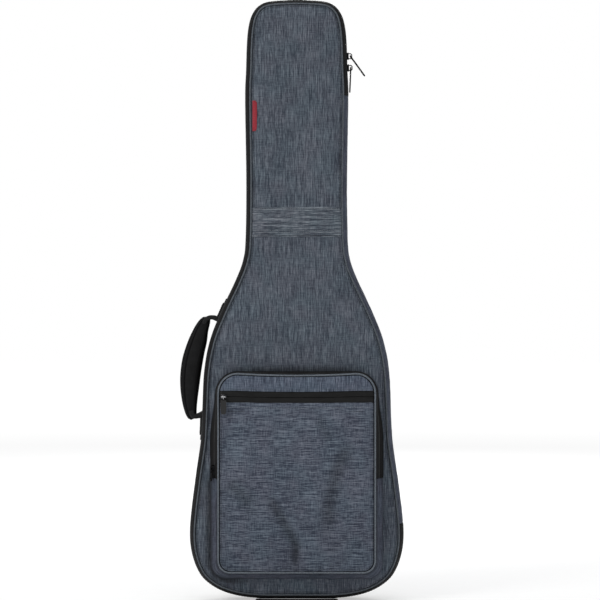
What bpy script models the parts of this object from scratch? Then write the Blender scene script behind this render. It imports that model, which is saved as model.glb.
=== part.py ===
"""Padded gig bag for an electric guitar: back shell, hinged front cover, accessory pocket, zips, handle and
shoulder straps.  Dimensions are millimetres; MM turns them into metres.

Frame: X to the right seen from the front, Y towards the back, Z up.  The origin lies on the underside of the
base pad, on the bag's centre line and mid-depth plane.  The front cover meets the back shell on the plane
Y = ZIP_Y: a zip runs from the top right, over the head, down the left and round the bottom, and a fabric
spine on the right joins the two halves.
"""

import math
from collections import namedtuple

import bmesh
import bpy
from mathutils import Matrix, Vector

MM = 0.001

# ------------------------------------------------------------------ driving dimensions
# Half of the bag's outline, from the bottom centre to the top centre: (half width, height).
STATIONS = [
    (0, 3), (62, 3.2), (104, 7.5), (138, 18), (165, 36), (180, 58), (189.5, 88), (192.3, 120),
    (189.5, 161), (181, 228), (172.5, 288), (169.8, 345), (166.5, 412), (156, 467), (135, 521),
    (109.7, 575), (96.5, 611), (92, 650), (90.8, 755), (92.9, 899), (91.3, 950), (89.7, 1000),
    (86.8, 1030), (80.5, 1052), (68, 1068), (47, 1075.8), (0, 1078),
]
ROUNDED = (2, 3, 4, 5, 22, 23, 24)    # outline segments that get one extra point on the curve
TRACK_HEIGHTS = (950.0, 1000.0)       # two stations that give the direction of the parked sliders

FACE_Y = 40.6            # outer face of the front cover and of the back panel, either side of Y = 0
SEAM_IN = 9.0            # how far the piped seams lie inside the widest line of the gusset
CLOTH_T = 1.5
END_GAP = 0.35           # trimmed off a band's end, so that neighbours don't touch
ZIP_Y = -12.0            # the plane the two halves part on
ZIP_HALF_GAP = 0.9       # from a zip's middle to either row, for the slider's post
TAPE_T = 1.0
SPINE_LOW, SPINE_TOP = 139.5, 905.0   # heights between which the right side is spine and not zip
CHAIN_START = 984.0      # the cover's half of the chain starts above the parked sliders
TAB_UPPER, TAB_LOWER = (509.0, 541.0), (287.0, 327.0)   # heights of the handle's webbing tabs

# ------------------------------------------------------------------ colours: RGB, roughness, metallic
COLOURS = {
    "heather": ((0.075, 0.09, 0.112), 0.85, 0.0),
    "black_cloth": ((0.012, 0.012, 0.013), 0.8, 0.0),
    "foam": ((0.05, 0.05, 0.055), 0.9, 0.0),
    "lining": ((0.03, 0.032, 0.036), 0.95, 0.0),
    "piping": ((0.1, 0.105, 0.11), 0.6, 0.0),
    "zip_tape": ((0.012, 0.012, 0.012), 0.7, 0.0),
    "zip_coil": ((0.015, 0.015, 0.015), 0.35, 0.0),
    "webbing": ((0.014, 0.014, 0.014), 0.75, 0.0),
    "rubber": ((0.016, 0.016, 0.016), 0.7, 0.0),
    "label": ((0.42, 0.03, 0.045), 0.6, 0.0),
    "metal": ((0.09, 0.09, 0.09), 0.3, 1.0),
    "bright_metal": ((0.55, 0.55, 0.56), 0.25, 1.0),
    "plastic": ((0.012, 0.012, 0.012), 0.4, 0.0),
}

# ------------------------------------------------------------------ scene and object helpers
for found in list(bpy.data.objects):
    bpy.data.objects.remove(found)
parts = bpy.data.collections.new("gig_bag")
helpers = bpy.data.collections.new("gig_bag_cutters")
bpy.context.scene.collection.children.link(parts)
bpy.context.scene.collection.children.link(helpers)


def material(slot):
    """Each part gets a material of its own, in its slot's colour."""
    colour, roughness, metallic = COLOURS[slot]
    made = bpy.data.materials.new(slot)
    made.use_nodes = True
    shader = made.node_tree.nodes["Principled BSDF"]
    shader.inputs["Base Color"].default_value = (*colour, 1)
    shader.inputs["Roughness"].default_value = roughness
    shader.inputs["Metallic"].default_value = metallic
    return made


def attach(obj, parent):
    """Parents an object without moving it."""
    if parent is not None:
        obj.parent = parent
        obj.matrix_parent_inverse = parent.matrix_world.inverted()


def add(name, data, slot=None, matrix=None, parent=None):
    obj = bpy.data.objects.new(name, data)
    parts.objects.link(obj)
    if slot:
        data.materials.append(material(slot))
    obj.matrix_world = matrix or Matrix.Identity(4)
    attach(obj, parent)
    return obj


def shift(x, y, z):
    return Matrix.Translation(Vector((x, y, z)) * MM)


def empty(name, at, parent=None):
    """A joint's frame: its origin is on the joint's axis."""
    obj = add(name, None, matrix=shift(*at), parent=parent)
    bpy.context.view_layer.update()    # children read its world matrix
    return obj


def front_plane(y, x=0, z=0):
    """A drawing plane whose x, y and normal are the world's X, Z and -Y, with its origin at (x, y, z)."""
    return shift(x, y, z) @ Matrix.Rotation(math.pi / 2, 4, "X")


def frame_of(origin, x_axis, y_axis, z_axis=None):
    """Matrix with the given origin and axes; z is the cross product of the others unless given."""
    x, y = x_axis.normalized(), y_axis.normalized()
    z = (z_axis or x.cross(y)).normalized()
    matrix = Matrix((x, y, z)).transposed().to_4x4()
    matrix.translation = origin * MM
    return matrix


def flat(name, loops, thickness, slot, matrix, parent=None):
    """A flat sheet: closed outlines on a drawing plane (the first is the edge, the others are holes)."""
    curve = bpy.data.curves.new(name, "CURVE")
    curve.dimensions = "2D"
    curve.fill_mode = "BOTH"
    curve.extrude = thickness / 2 * MM
    for loop in loops:
        spline = curve.splines.new("POLY")
        spline.points.add(len(loop) - 1)
        for point, (x, y) in zip(spline.points, loop):
            point.co = (x * MM, y * MM, 0, 1)
        spline.use_cyclic_u = True
    return add(name, curve, slot, matrix, parent)


def tube(name, points, radius, slot, resolution=1, cyclic=False, radii=None, matrix=None, parent=None):
    """A round tube along the points; radii are optional factors on the radius."""
    curve = bpy.data.curves.new(name, "CURVE")
    curve.dimensions = "3D"
    curve.bevel_depth = radius * MM
    curve.bevel_resolution = resolution
    curve.use_fill_caps = not cyclic
    spline = curve.splines.new("POLY")
    spline.points.add(len(points) - 1)
    for i, (point, at) in enumerate(zip(spline.points, points)):
        point.co = (*(Vector(at) * MM), 1)
        point.radius = radii[i] if radii else 1.0
    spline.use_cyclic_u = cyclic
    return add(name, curve, slot, matrix, parent)


def sheet(name, rows, thickness, slot, closed=False, parent=None):
    """A sewn sheet: rows of points across its width, in order along its length, thickened by Solidify."""
    mesh = bpy.data.meshes.new(name)
    build = bmesh.new()
    grid = [[build.verts.new(Vector(at) * MM) for at in row] for row in rows]
    count = len(grid)
    for i in range(count if closed else count - 1):
        here, there = grid[i], grid[(i + 1) % count]
        for corners in zip(here, here[1:], there[1:], there):
            build.faces.new(corners)
    build.normal_update()
    build.to_mesh(mesh)
    build.free()
    mesh.shade_smooth()
    mesh.set_sharp_from_angle(angle=math.radians(40))
    obj = add(name, mesh, slot, parent=parent)
    solid = obj.modifiers.new("thickness", "SOLIDIFY")
    solid.thickness = thickness * MM
    solid.offset = 0
    solid.use_even_offset = True


def as_mesh(obj, slot=None):
    """Turns a curve into a closed mesh object of the same name and place, for use in a Boolean."""
    bpy.context.view_layer.update()
    graph = bpy.context.evaluated_depsgraph_get()
    mesh = bpy.data.meshes.new_from_object(obj.evaluated_get(graph))
    build = bmesh.new()
    build.from_mesh(mesh)
    bmesh.ops.remove_doubles(build, verts=build.verts, dist=1e-6)
    bmesh.ops.recalc_face_normals(build, faces=build.faces)
    build.to_mesh(mesh)
    build.free()
    name, world, parent = obj.name, obj.matrix_world.copy(), obj.parent
    bpy.data.objects.remove(obj)    # frees the name
    return add(name, mesh, slot, world, parent)


def unite(obj, other):
    """Joins other to obj with a Boolean, and keeps other as a hidden helper."""
    parts.objects.unlink(other)
    helpers.objects.link(other)
    other.hide_render = True
    other.display_type = "WIRE"
    join = obj.modifiers.new("join " + other.name, "BOOLEAN")
    join.operation = "UNION"
    join.solver = "EXACT"
    join.object = other


# ------------------------------------------------------------------ the bag's outline
def catmull(before, start, end, after, t):
    """Catmull-Rom point at share t of the way from start to end."""
    return 0.5 * (2 * start + (end - before) * t
                  + (2 * before - 5 * start + 4 * end - after) * t * t
                  + (3 * start - before - 3 * end + after) * t ** 3)


def half_outline():
    """The right half, bottom centre to top centre, as 2D points (x, height)."""
    points = [Vector(station) for station in STATIONS]
    second, last_but_one = points[1], points[-2]
    # One mirrored point beyond either end carries the curve over the centre line.
    run = [Vector((-second.x, second.y))] + points + [Vector((-last_but_one.x, last_but_one.y))]
    out = []
    for i in range(len(points) - 1):
        out.append(points[i])
        if i in ROUNDED:
            out.append(catmull(*run[i:i + 4], 0.5))
    return out + [points[-1]]


def with_heights(points, heights):
    """Adds a point on the outline at each height, so that a part can start or end exactly there."""
    out = list(points)
    for z in heights:
        for i in range(len(out) - 1):
            here, there = out[i], out[i + 1]
            if min(here.y, there.y) + 0.5 < z < max(here.y, there.y) - 0.5:
                out.insert(i + 1, here.lerp(there, (z - here.y) / (there.y - here.y)))
                break
    return out


right_half = with_heights(half_outline(), (SPINE_LOW, SPINE_TOP, CHAIN_START))
left_half = [Vector((-at.x, at.y)) for at in with_heights(half_outline(), TAB_UPPER + TAB_LOWER)]
# Anticlockwise seen from the front, starting at the bottom centre.
OUTLINE = right_half + left_half[-2:0:-1]


def at_height(z, side):
    """Index of the outline's point at this height, on the side with that sign of x."""
    return next(i for i, at in enumerate(OUTLINE) if abs(at.y - z) < 0.01 and at.x * side > 0)


ZIP_FROM, ZIP_TO = at_height(SPINE_TOP, 1), at_height(SPINE_LOW, 1)
ZIP_SPAN = (ZIP_FROM, ZIP_TO)
SPINE_SPAN = (ZIP_TO, ZIP_FROM)
COVER_ZIP_SPAN = (at_height(CHAIN_START, 1), ZIP_TO)


def offset(loop, distance):
    """The closed outline moved outwards by a distance, corners mitred."""
    out, count = [], len(loop)
    for i in range(count):
        arriving = (loop[i] - loop[i - 1]).normalized()
        leaving = (loop[(i + 1) % count] - loop[i]).normalized()
        normal_in = Vector((arriving.y, -arriving.x))
        normal_out = Vector((leaving.y, -leaving.x))
        mitre = (normal_in + normal_out).normalized()
        out.append(loop[i] + mitre * (distance / mitre.dot(normal_in)))
    return out


def round_outline(name, profile, thickness, slot, span=None, parent=None):
    """A band that follows the outline, all round or over a span of its points (first, last).
    profile is its cross section: (distance outside the outline, y)."""
    loops = [(offset(OUTLINE, out), y) for out, y in profile]
    count = len(OUTLINE)
    start, steps = (span[0], (span[1] - span[0]) % count + 1) if span else (0, count)
    order = [(start + k) % count for k in range(steps)]
    rows = [[Vector((loop[i].x, y, loop[i].y)) for loop, y in loops] for i in order]
    if span:
        for end, inner in ((0, 1), (-1, -2)):
            rows[end] = [here + (there - here).normalized() * END_GAP
                         for here, there in zip(rows[end], rows[inner])]
    sheet(name, rows, thickness, slot, closed=span is None, parent=parent)


# ------------------------------------------------------------------ parts that both halves have
# Layers of the large panels: (name, inset from the outline, inner face's distance from Y = 0, thickness).
PANEL_T = 2.0
PANEL_LAYERS = [
    ("panel", SEAM_IN + 2.3, FACE_Y - PANEL_T, PANEL_T),
    ("foam", SEAM_IN + 5.3, 29.3, 9.0),
    ("lining", SEAM_IN + 5.3, 27.8, 1.2),
]
PIPING_R, PIPING_IN = 1.9, 1.0        # PIPING_IN: from the outer face to the piping's middle
TAPE_O, TAPE_W = -2.4, 8.8            # distance outside the outline, and width
COIL_O, COIL_W, COIL_T = -0.5, 3.0, 2.2

# Base pad, drawn in (x, z): flat below and following the gusset above.
BASE_PAD = [(-66, 0), (66, 0), (72, 0.9), (74, 2.3), (72, 3.25), (62, 2.85), (0, 2.65),
            (-62, 2.85), (-72, 3.25), (-74, 2.3), (-72, 0.9)]


# In these functions facing is 1 for the back shell and -1 for the front cover.
def padded_panel(side, facing, cloth, parent=None):
    """Cloth, foam and lining in the bag's own outline, set in from it."""
    for layer, inset, inner, thickness in PANEL_LAYERS:
        loop = [(at.x, at.y) for at in offset(OUTLINE, -inset)]
        slot = cloth if layer == "panel" else layer
        flat(side + "_" + layer, [loop], thickness, slot,
             front_plane(facing * (inner + thickness / 2)), parent)


def seam_piping(side, facing, slot, parent=None):
    y = facing * (FACE_Y - PIPING_IN)
    tube(side + "_piping", [(at.x, y, at.y) for at in offset(OUTLINE, -SEAM_IN)], PIPING_R, slot,
         resolution=0, cyclic=True, parent=parent)


def zip_half(side, facing, span, parent=None):
    """One row of the main zip: its tape and its coil."""
    edge = ZIP_Y + facing * ZIP_HALF_GAP
    for piece, out, width, thickness in (("zip_tape", TAPE_O, TAPE_W, TAPE_T),
                                         ("zip_coil", COIL_O, COIL_W, COIL_T)):
        profile = [(out, y) for y in sorted((edge, edge + facing * width))]
        round_outline(piece + "_" + side, profile, thickness, piece, span, parent)


def base_pad(side, y_low, y_high, parent=None):
    """Moulded pad under the bottom."""
    flat("base_pad_" + side, [BASE_PAD], y_high - y_low, "rubber",
         front_plane((y_low + y_high) / 2), parent)


# ------------------------------------------------------------------ back shell
# Cross sections: (distance outside the outline, y).
REAR_CLOTH = [(-0.8, -2.0), (-0.8, 18.0), (-2.6, 28.0), (-7.8, 37.0)]
REAR_SPINE = [(-0.8, ZIP_Y + ZIP_HALF_GAP)] + REAR_CLOTH[1:]
REAR_FOAM = [(-4.9, -1.5), (-4.9, 17.5), (-7.2, 27.0)]
REAR_FOAM_T = 6.0

padded_panel("back", 1, "black_cloth")
round_outline("gusset_rear", REAR_CLOTH, CLOTH_T, "black_cloth", ZIP_SPAN)
round_outline("spine_rear", REAR_SPINE, CLOTH_T, "heather", SPINE_SPAN)
round_outline("gusset_rear_foam", REAR_FOAM, REAR_FOAM_T, "foam")
seam_piping("rear", 1, "black_cloth")
zip_half("rear", 1, ZIP_SPAN)
base_pad("rear", -1.8, 26.0)

# Hang loop: webbing across the top of the head, sewn down at both ends; (x, z).
HANG_LOOP = [(-31, 1079.0), (-24, 1079.2), (-16, 1080.6), (0, 1081.2), (16, 1080.6), (24, 1079.2),
             (31, 1079.0)]
HANG_LOOP_Y = (2.0, 25.0)
sheet("hang_loop", [[(x, y, z) for y in HANG_LOOP_Y] for x, z in HANG_LOOP], 1.2, "webbing")

# Webbing tabs that hold the handle to the left side.
HANDLE_Y = 10.0
TAB_OUT, TAB_HALF_W, TAB_T = 2.7, 11.5, 4.4
for label, (tab_low, tab_top) in (("upper", TAB_UPPER), ("lower", TAB_LOWER)):
    round_outline("handle_tab_" + label,
                  [(TAB_OUT, HANDLE_Y - TAB_HALF_W), (TAB_OUT, HANDLE_Y + TAB_HALF_W)], TAB_T,
                  "webbing", (at_height(tab_top, -1), at_height(tab_low, -1)))

# Inside: the neck rest with its channel, the strap across it, and the pad for the guitar's end pin.
NECK_Z, NECK_REST_H = 740, 84
NECK_REST = [(-55, 27.5), (-55, 14), (-50, 12), (-34, 12), (-29, 15), (-29, 21.5), (29, 21.5),
             (29, 15), (34, 12), (50, 12), (55, 14), (55, 27.5)]               # (x, y)
NECK_STRAP = [(-44, 721), (40, 721), (44, 725), (44, 755), (40, 759), (-44, 759)]    # (x, z)
PIN_PAD = [(-44, 14), (44, 14), (44, 22), (36, 27), (-36, 27), (-44, 22)]      # (x, z)
PIN_PAD_Y, PIN_PAD_DEPTH = 10, 30

flat("neck_rest", [NECK_REST], NECK_REST_H, "foam", shift(0, 0, NECK_Z))
strap_hinge = empty("neck_strap_hinge", (-44.5, 11.0, NECK_Z))
flat("neck_strap", [NECK_STRAP], 1.4, "webbing", front_plane(10.9), strap_hinge)
flat("end_pin_pad", [PIN_PAD], PIN_PAD_DEPTH, "rubber", front_plane(PIN_PAD_Y))

# ------------------------------------------------------------------ back carry system
STRAP_YOKE = [(-52, 650), (52, 650), (60, 662), (60, 706), (48, 718), (-48, 718), (-60, 706),
              (-60, 662)]                                                      # (x, z)
# Right shoulder pad: (x, z, half width) down its middle; the left one mirrors it.
SHOULDER_PAD = [(34, 645, 19), (37, 610, 24), (43, 560, 29), (52, 500, 32), (62, 440, 33),
                (71, 380, 32), (78, 330, 28), (82, 298, 19)]
PAD_Y, PAD_T = 43.0, 10.0             # PAD_Y: the face towards the bag
PAD_HINGE_X, PAD_HINGE_Z = 34, 648

LOCK_X, LOCK_Z = 86.2, 276.0          # middle of the right ladder lock
LOCK_Y, LOCK_T = 46.2, 4.0
LOCK_HINGE_Y, LOCK_HINGE_BACK = 46, 11    # depth, and distance behind the lock along the strap
# Ladder lock, drawn in (across, along the strap): its edge, then two slots.
LOCK_LOOPS = [
    [(-17, -12), (-14, -14), (14, -14), (17, -12), (17, 12), (14, 14), (-14, 14), (-17, 12)],
    [(-13, -10), (13, -10), (13, -3.6), (-13, -3.6)],
    [(-13, 0.6), (13, 0.6), (13, 10), (-13, 10)],
]
ANCHOR_X, ANCHOR_Z = 137.0, 96.0      # lower end of the right strap
STRAP_HALF_W, STRAP_T, STRAP_Y, STRAP_START = 12.5, 1.5, 43.6, 15.0
ANCHOR_WING = [(118, 118), (109, 96), (122, 66), (146, 62), (163, 84), (160, 108), (142, 122)]


def ribbon_outline(line):
    """Outline of a flat strap whose middle and half widths are given."""
    sides = ([], [])
    for i, (x, z, half_width) in enumerate(line):
        before, after = line[max(i - 1, 0)], line[min(i + 1, len(line) - 1)]
        along = Vector((after[0] - before[0], after[1] - before[1])).normalized()
        normal = Vector((along.y, -along.x))
        for points, sign in zip(sides, (1, -1)):
            points.append(tuple(Vector((x, z)) + normal * half_width * sign))
    return sides[0] + sides[1][::-1]


def on_side(points, sign):
    """2D points for the right side, mirrored for the left (sign -1) with their turning sense kept."""
    return points if sign > 0 else [(-x, z) for x, z in points[::-1]]


def shoulder_strap(side, sign):
    swing = empty("strap_hinge_" + side, (PAD_HINGE_X * sign, PAD_Y, PAD_HINGE_Z))
    flat("shoulder_pad_" + side, [on_side(ribbon_outline(SHOULDER_PAD), sign)], PAD_T, "black_cloth",
         front_plane(PAD_Y + PAD_T / 2), swing)
    start = Vector((LOCK_X * sign, 0, LOCK_Z))
    strap = Vector((ANCHOR_X * sign, 0, ANCHOR_Z)) - start
    along = strap.normalized()
    across = Vector((-along.z, 0, along.x))
    lock = empty("ladder_lock_hinge_" + side,
                 start + Vector((0, LOCK_HINGE_Y, 0)) - along * LOCK_HINGE_BACK, swing)
    flat("ladder_lock_" + side, LOCK_LOOPS, LOCK_T, "plastic",
         frame_of(start + Vector((0, LOCK_Y, 0)), across, along), lock)
    strip = [(-STRAP_HALF_W, STRAP_START), (STRAP_HALF_W, STRAP_START),
             (STRAP_HALF_W, strap.length), (-STRAP_HALF_W, strap.length)]
    flat("strap_webbing_" + side, [strip], STRAP_T, "webbing",
         frame_of(start + Vector((0, STRAP_Y, 0)), across, along))
    flat("strap_anchor_" + side, [on_side(ANCHOR_WING, sign)], 1.4, "black_cloth", front_plane(41.8))


flat("strap_yoke", [STRAP_YOKE], 1.5, "black_cloth", front_plane(41.7))
shoulder_strap("right", 1)
shoulder_strap("left", -1)

# ------------------------------------------------------------------ front cover
# Two points of the cover's hinge line, just outside the spine.
HINGE_LOW = Vector((194.0, ZIP_Y, 120.0))
HINGE_HIGH = Vector((109.7, ZIP_Y, 1078.0))
# Cross sections: (distance outside the outline, y).
FRONT_CLOTH = [(-7.8, -37.0), (-3.4, -29.0), (-1.2, -22.0)]
FRONT_SPINE = FRONT_CLOTH + [(-0.9, ZIP_Y - ZIP_HALF_GAP)]
FRONT_FOAM = [(-10.9, -36.5), (-6.5, -29.0), (-4.3, -22.0)]
FRONT_FOAM_T = 3.5
# Trim on the cover's face, drawn in (x, z).
CROSS_BAND = [(-80, 651.5), (80, 651.5), (79.6, 704.5), (-79.6, 704.5)]
LABEL_TAG = [(-80.0, 839.5), (-74.5, 838), (-71.0, 842.5), (-71.0, 889), (-74.5, 893.5), (-80.0, 892)]
TRIM_Y, TRIM_T = -FACE_Y - 0.9, 1.0

cover = empty("cover_hinge", HINGE_LOW.lerp(HINGE_HIGH, 0.5))
padded_panel("front", -1, "heather", cover)
round_outline("gusset_front", FRONT_CLOTH, CLOTH_T, "black_cloth", ZIP_SPAN, cover)
round_outline("spine_front", FRONT_SPINE, CLOTH_T, "heather", SPINE_SPAN, cover)
round_outline("gusset_front_foam", FRONT_FOAM, FRONT_FOAM_T, "foam", parent=cover)
seam_piping("front", -1, "piping", cover)
zip_half("front", -1, COVER_ZIP_SPAN, cover)
base_pad("front", -30.0, -23.0, cover)
flat("cross_band", [CROSS_BAND], TRIM_T, "heather", front_plane(TRIM_Y), cover)
flat("label_tag", [LABEL_TAG], TRIM_T, "label", front_plane(TRIM_Y), cover)

# ------------------------------------------------------------------ accessory pocket on the cover
PocketShape = namedtuple("PocketShape", "half_width bottom top bottom_radius top_radius")
POCKET_BASE = PocketShape(151.0, 40.5, 414.5, 28.0, 43.0)      # where it is sewn to the cover
POCKET_FACE = PocketShape(139.0, 56.0, 409.5, 21.0, 34.0)      # its front face
POCKET_BASE_Y, POCKET_FACE_Y = -41.4, -72.2
FACE_INSET = 3.0         # from the face's piping to its panels
FACE_PANEL = PocketShape(
    POCKET_FACE.half_width - FACE_INSET, POCKET_FACE.bottom + FACE_INSET, POCKET_FACE.top - FACE_INSET,
    POCKET_FACE.bottom_radius - FACE_INSET, POCKET_FACE.top_radius - FACE_INSET)
POCKET_CLOTH_T = 1.6
CORNER_STEPS = 4
FLAP_Z = 216.0           # the side zip ends here, so the face above it folds forward
FLAP_HALF_GAP = 0.35
FLAP_HINGE_OUT = 1.6     # the fold line's distance in front of the face
SIDE_CHAIN_Z = 252.0     # the flap's half of the side chain starts above the parked slider
FACE_ZIP_LOW, FACE_ZIP_TOP = 358.1, 377.5
FACE_ZIP_Z = 367.8       # line on which the face zip opens
FACE_ZIP_GAP = 0.3       # between the face zip's tapes and the panels


def pocket_path(shape, upper, left_start=None):
    """Half of the pocket's rounded outline: from the left split line over the top, or under the bottom."""
    up = 1 if upper else -1
    radius = shape.top_radius if upper else shape.bottom_radius
    end = shape.top if upper else shape.bottom
    split = FLAP_Z + up * FLAP_HALF_GAP
    corner = []
    for k in range(CORNER_STEPS + 1):
        angle = math.pi / 2 * k / CORNER_STEPS
        corner.append((-shape.half_width + radius - radius * math.cos(angle),
                       end - up * radius + up * radius * math.sin(angle)))
    return ([(-shape.half_width, left_start or split)] + corner
            + [(-x, z) for x, z in corner[::-1]] + [(shape.half_width, split)])


def pocket_band(name, upper, shares, thickness, slot, parent, left_start=None):
    """A band of the pocket's side, between two shares of the way from the cover to the face."""
    rows = []
    for (x, z), (face_x, face_z) in zip(pocket_path(POCKET_BASE, upper, left_start),
                                        pocket_path(POCKET_FACE, upper, left_start)):
        base = Vector((x, POCKET_BASE_Y, z))
        face = Vector((face_x, POCKET_FACE_Y, face_z))
        rows.append([base + (face - base) * share for share in shares])
    sheet(name, rows, thickness, slot, parent=parent)


def face_half_width(z):
    """Half width of the pocket's face panel at a height, inside its piping."""
    radius = FACE_PANEL.top_radius
    rise = max(0.0, z - (FACE_PANEL.top - radius))
    return FACE_PANEL.half_width - radius + math.sqrt(max(0.0, radius * radius - rise * rise))


def face_strip(name, low, top, thickness, slot, steps=1):
    """A strip of the flap's face between two heights."""
    heights = [low + (top - low) * k / steps for k in range(steps + 1)]
    rise = [(face_half_width(z), z) for z in heights]
    flat(name, [rise + [(-x, z) for x, z in rise[::-1]]], thickness, slot,
         front_plane(POCKET_FACE_Y), flap)


flap = empty("pocket_flap_hinge", (0, POCKET_FACE_Y - FLAP_HINGE_OUT, FLAP_Z), cover)
pocket_band("pocket_gusset_lower", False, (0.03, 0.92), POCKET_CLOTH_T, "heather", cover)
pocket_band("side_zip_tape_rear", True, (0.03, 0.47), TAPE_T, "zip_tape", cover)
pocket_band("side_zip_tape_front", True, (0.53, 0.90), TAPE_T, "zip_tape", flap, SIDE_CHAIN_Z)
for label, upper, owner in (("lower", False, cover), ("upper", True, flap)):
    tube("pocket_piping_" + label, [(x, POCKET_FACE_Y, z) for x, z in pocket_path(POCKET_FACE, upper)],
         1.8, "piping", parent=owner)

flat("pocket_panel_lower", [pocket_path(FACE_PANEL, False)], POCKET_CLOTH_T, "heather",
     front_plane(POCKET_FACE_Y), cover)
face_strip("pocket_panel_mid", FLAP_Z + FLAP_HALF_GAP, FACE_ZIP_LOW - FACE_ZIP_GAP, POCKET_CLOTH_T,
           "heather")
face_strip("pocket_zip_tape_lower", FACE_ZIP_LOW, FACE_ZIP_Z - ZIP_HALF_GAP, TAPE_T, "zip_tape")
face_strip("pocket_zip_tape_upper", FACE_ZIP_Z + ZIP_HALF_GAP, FACE_ZIP_TOP, TAPE_T, "zip_tape")
face_strip("pocket_panel_top", FACE_ZIP_TOP + FACE_ZIP_GAP, FACE_PANEL.top - 0.4, POCKET_CLOTH_T,
           "heather", steps=4)

# ------------------------------------------------------------------ zip sliders and pulls
# Heights here are measured outwards from the tape's middle.
SLIDER_LOW = -2.8        # underside of the inner plate
OUTER_PLATE_T = 2.0
POST_HALF_T = 0.6
BRIDGE_R, BRIDGE_RISE = 0.9, 5.6      # BRIDGE_RISE: from the outer plate's top to the bridge's middle
BRIDGE_SINK = 0.9        # how far the bridge's feet reach into the outer plate
PIVOT_DROP = 2.5         # from the bridge's middle down to the pull's pivot
COIL_ROOM, TAPE_ROOM = 3.3, 0.8       # room under the outer plate, with and without coils


def slider(name, at, along, outward, room, slot, parent, length=12.0, width=10.0):
    """Zip slider: two plates joined by a post that runs between the zip's rows, and a bridge for the pull.
    room is the space under the outer plate. Returns the bridge's height."""
    half, post = width / 2, POST_HALF_T
    top = room + OUTER_PLATE_T
    section = [(-half, SLIDER_LOW), (half, SLIDER_LOW), (half, -1.1), (post, -1.0), (post, room),
               (half, room + 0.15), (half - 0.8, top), (-half + 0.8, top), (-half, room + 0.15),
               (-post, room), (-post, -1.0), (-half, -1.1)]
    across = outward.cross(along)
    body = as_mesh(flat(name, [section], length, None, frame_of(at, across, outward), parent), slot)
    lift = top + BRIDGE_RISE
    foot = top - BRIDGE_SINK
    arch = [(0, -4.5, foot), (0, -4.5, lift - 2.0), (0, -2.6, lift), (0, 2.6, lift),
            (0, 4.5, lift - 2.0), (0, 4.5, foot)]
    # The bridge's frame is left-handed: x across, y along the zip and z outwards.
    bridge = as_mesh(tube(name + "_bridge", arch, BRIDGE_R, None,
                          matrix=frame_of(at, across, along, outward), parent=parent))
    unite(body, bridge)
    return lift


def circle(centre_x, centre_y, radius, count=10):
    angles = [2 * math.pi * k / count for k in range(count)]
    return [(centre_x + radius * math.cos(angle), centre_y + radius * math.sin(angle)) for angle in angles]


def pull(name, pivot, along, outward, degrees, length, width, parent):
    """Flat pull tab. Its end bar is the pivot, under the slider's bridge; it points away from `along` and is
    turned outwards by the given angle."""
    angle = math.radians(degrees)
    reach = outward * math.sin(angle) - along * math.cos(angle)
    half = width / 2
    edge = [(-half, -0.9), (half, -0.9), (half, length * 0.72), (half * 0.8, length - 2.0),
            (half * 0.45, length - 0.9), (-half * 0.45, length - 0.9), (-half * 0.8, length - 2.0),
            (-half, length * 0.72)]
    window = [(-2.3, 0.9), (2.3, 0.9), (2.3, 9.6), (-2.3, 9.6)]
    hole = circle(0, length - 5.2, 1.5)
    joint = empty(name + "_hinge", pivot, parent)
    flat(name, [edge, window, hole], 1.8, "metal", frame_of(pivot, outward.cross(along), reach), joint)


# Main zip: two sliders parked at the top right; (name, height, pull's angle out from hanging straight).
MAIN_SLIDERS = [("lower", 956.5, -4.0), ("upper", 977.5, 34.0)]


def main_sliders():
    tape_line = offset(OUTLINE, TAPE_O)
    low, high = (tape_line[at_height(z, 1)] for z in TRACK_HEIGHTS)
    start = Vector((low.x, ZIP_Y, low.y))
    track = Vector((high.x - low.x, 0, high.y - low.y)).normalized()
    normal = Vector((track.z, 0, -track.x))
    holder = None    # the upper slider's frame hangs from the lower one's
    for label, z, degrees in MAIN_SLIDERS:
        at = start + track * ((z - start.z) / track.z)
        holder = empty("main_slider_frame_" + label, at, holder)
        lift = slider("main_slider_" + label, at, track, normal, COIL_ROOM, "metal", holder)
        pull("main_pull_" + label, at + normal * (lift - PIVOT_DROP), track, normal, degrees,
             length=45.0, width=8.0, parent=holder)


# Pocket zip: the slider runs along X, and its pull hangs from a ring on the bridge.
FACE_SLIDER_X = -129.5
RING_R, RING_WIRE_R, RING_DROP = 3.3, 0.8, 1.2
PULL_TAB_DROP, PULL_TAB_T = 6.0, 2.2
# Pull tab, in (x, z) from the middle of its top edge.
PULL_TAB = [(-5.4, -14), (-4.4, -23), (-2.6, -25), (2.6, -25), (4.4, -23), (5.4, -14), (5.2, 0), (-5.2, 0)]


def pocket_slider():
    at = Vector((FACE_SLIDER_X, POCKET_FACE_Y, FACE_ZIP_Z))
    holder = empty("pocket_slider_frame", at, flap)
    lift = slider("pocket_slider", at, Vector((1, 0, 0)), Vector((0, -1, 0)), TAPE_ROOM,
                  "bright_metal", holder, length=10.0, width=9.0)
    bar = at + Vector((0, -lift, 0))
    ring_hinge = empty("pocket_pull_hinge", bar, holder)
    bpy.ops.mesh.primitive_torus_add(
        major_radius=RING_R * MM, minor_radius=RING_WIRE_R * MM, major_segments=16, minor_segments=6,
        location=(bar - Vector((0, 0, RING_DROP))) * MM, rotation=(0, math.pi / 2, 0))
    ring = bpy.context.object
    ring.name = "pocket_pull_ring"
    for holding in list(ring.users_collection):
        holding.objects.unlink(ring)
    parts.objects.link(ring)
    ring.data.materials.append(material("bright_metal"))
    attach(ring, ring_hinge)
    flat("pocket_pull_tab", [PULL_TAB], PULL_TAB_T, "rubber",
         front_plane(bar.y, bar.x, bar.z - PULL_TAB_DROP), ring_hinge)


# Side zip: the slider runs up the pocket's sloping left side, on the middle of the slope.
SIDE_SLIDER_Z = 240.5


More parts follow.
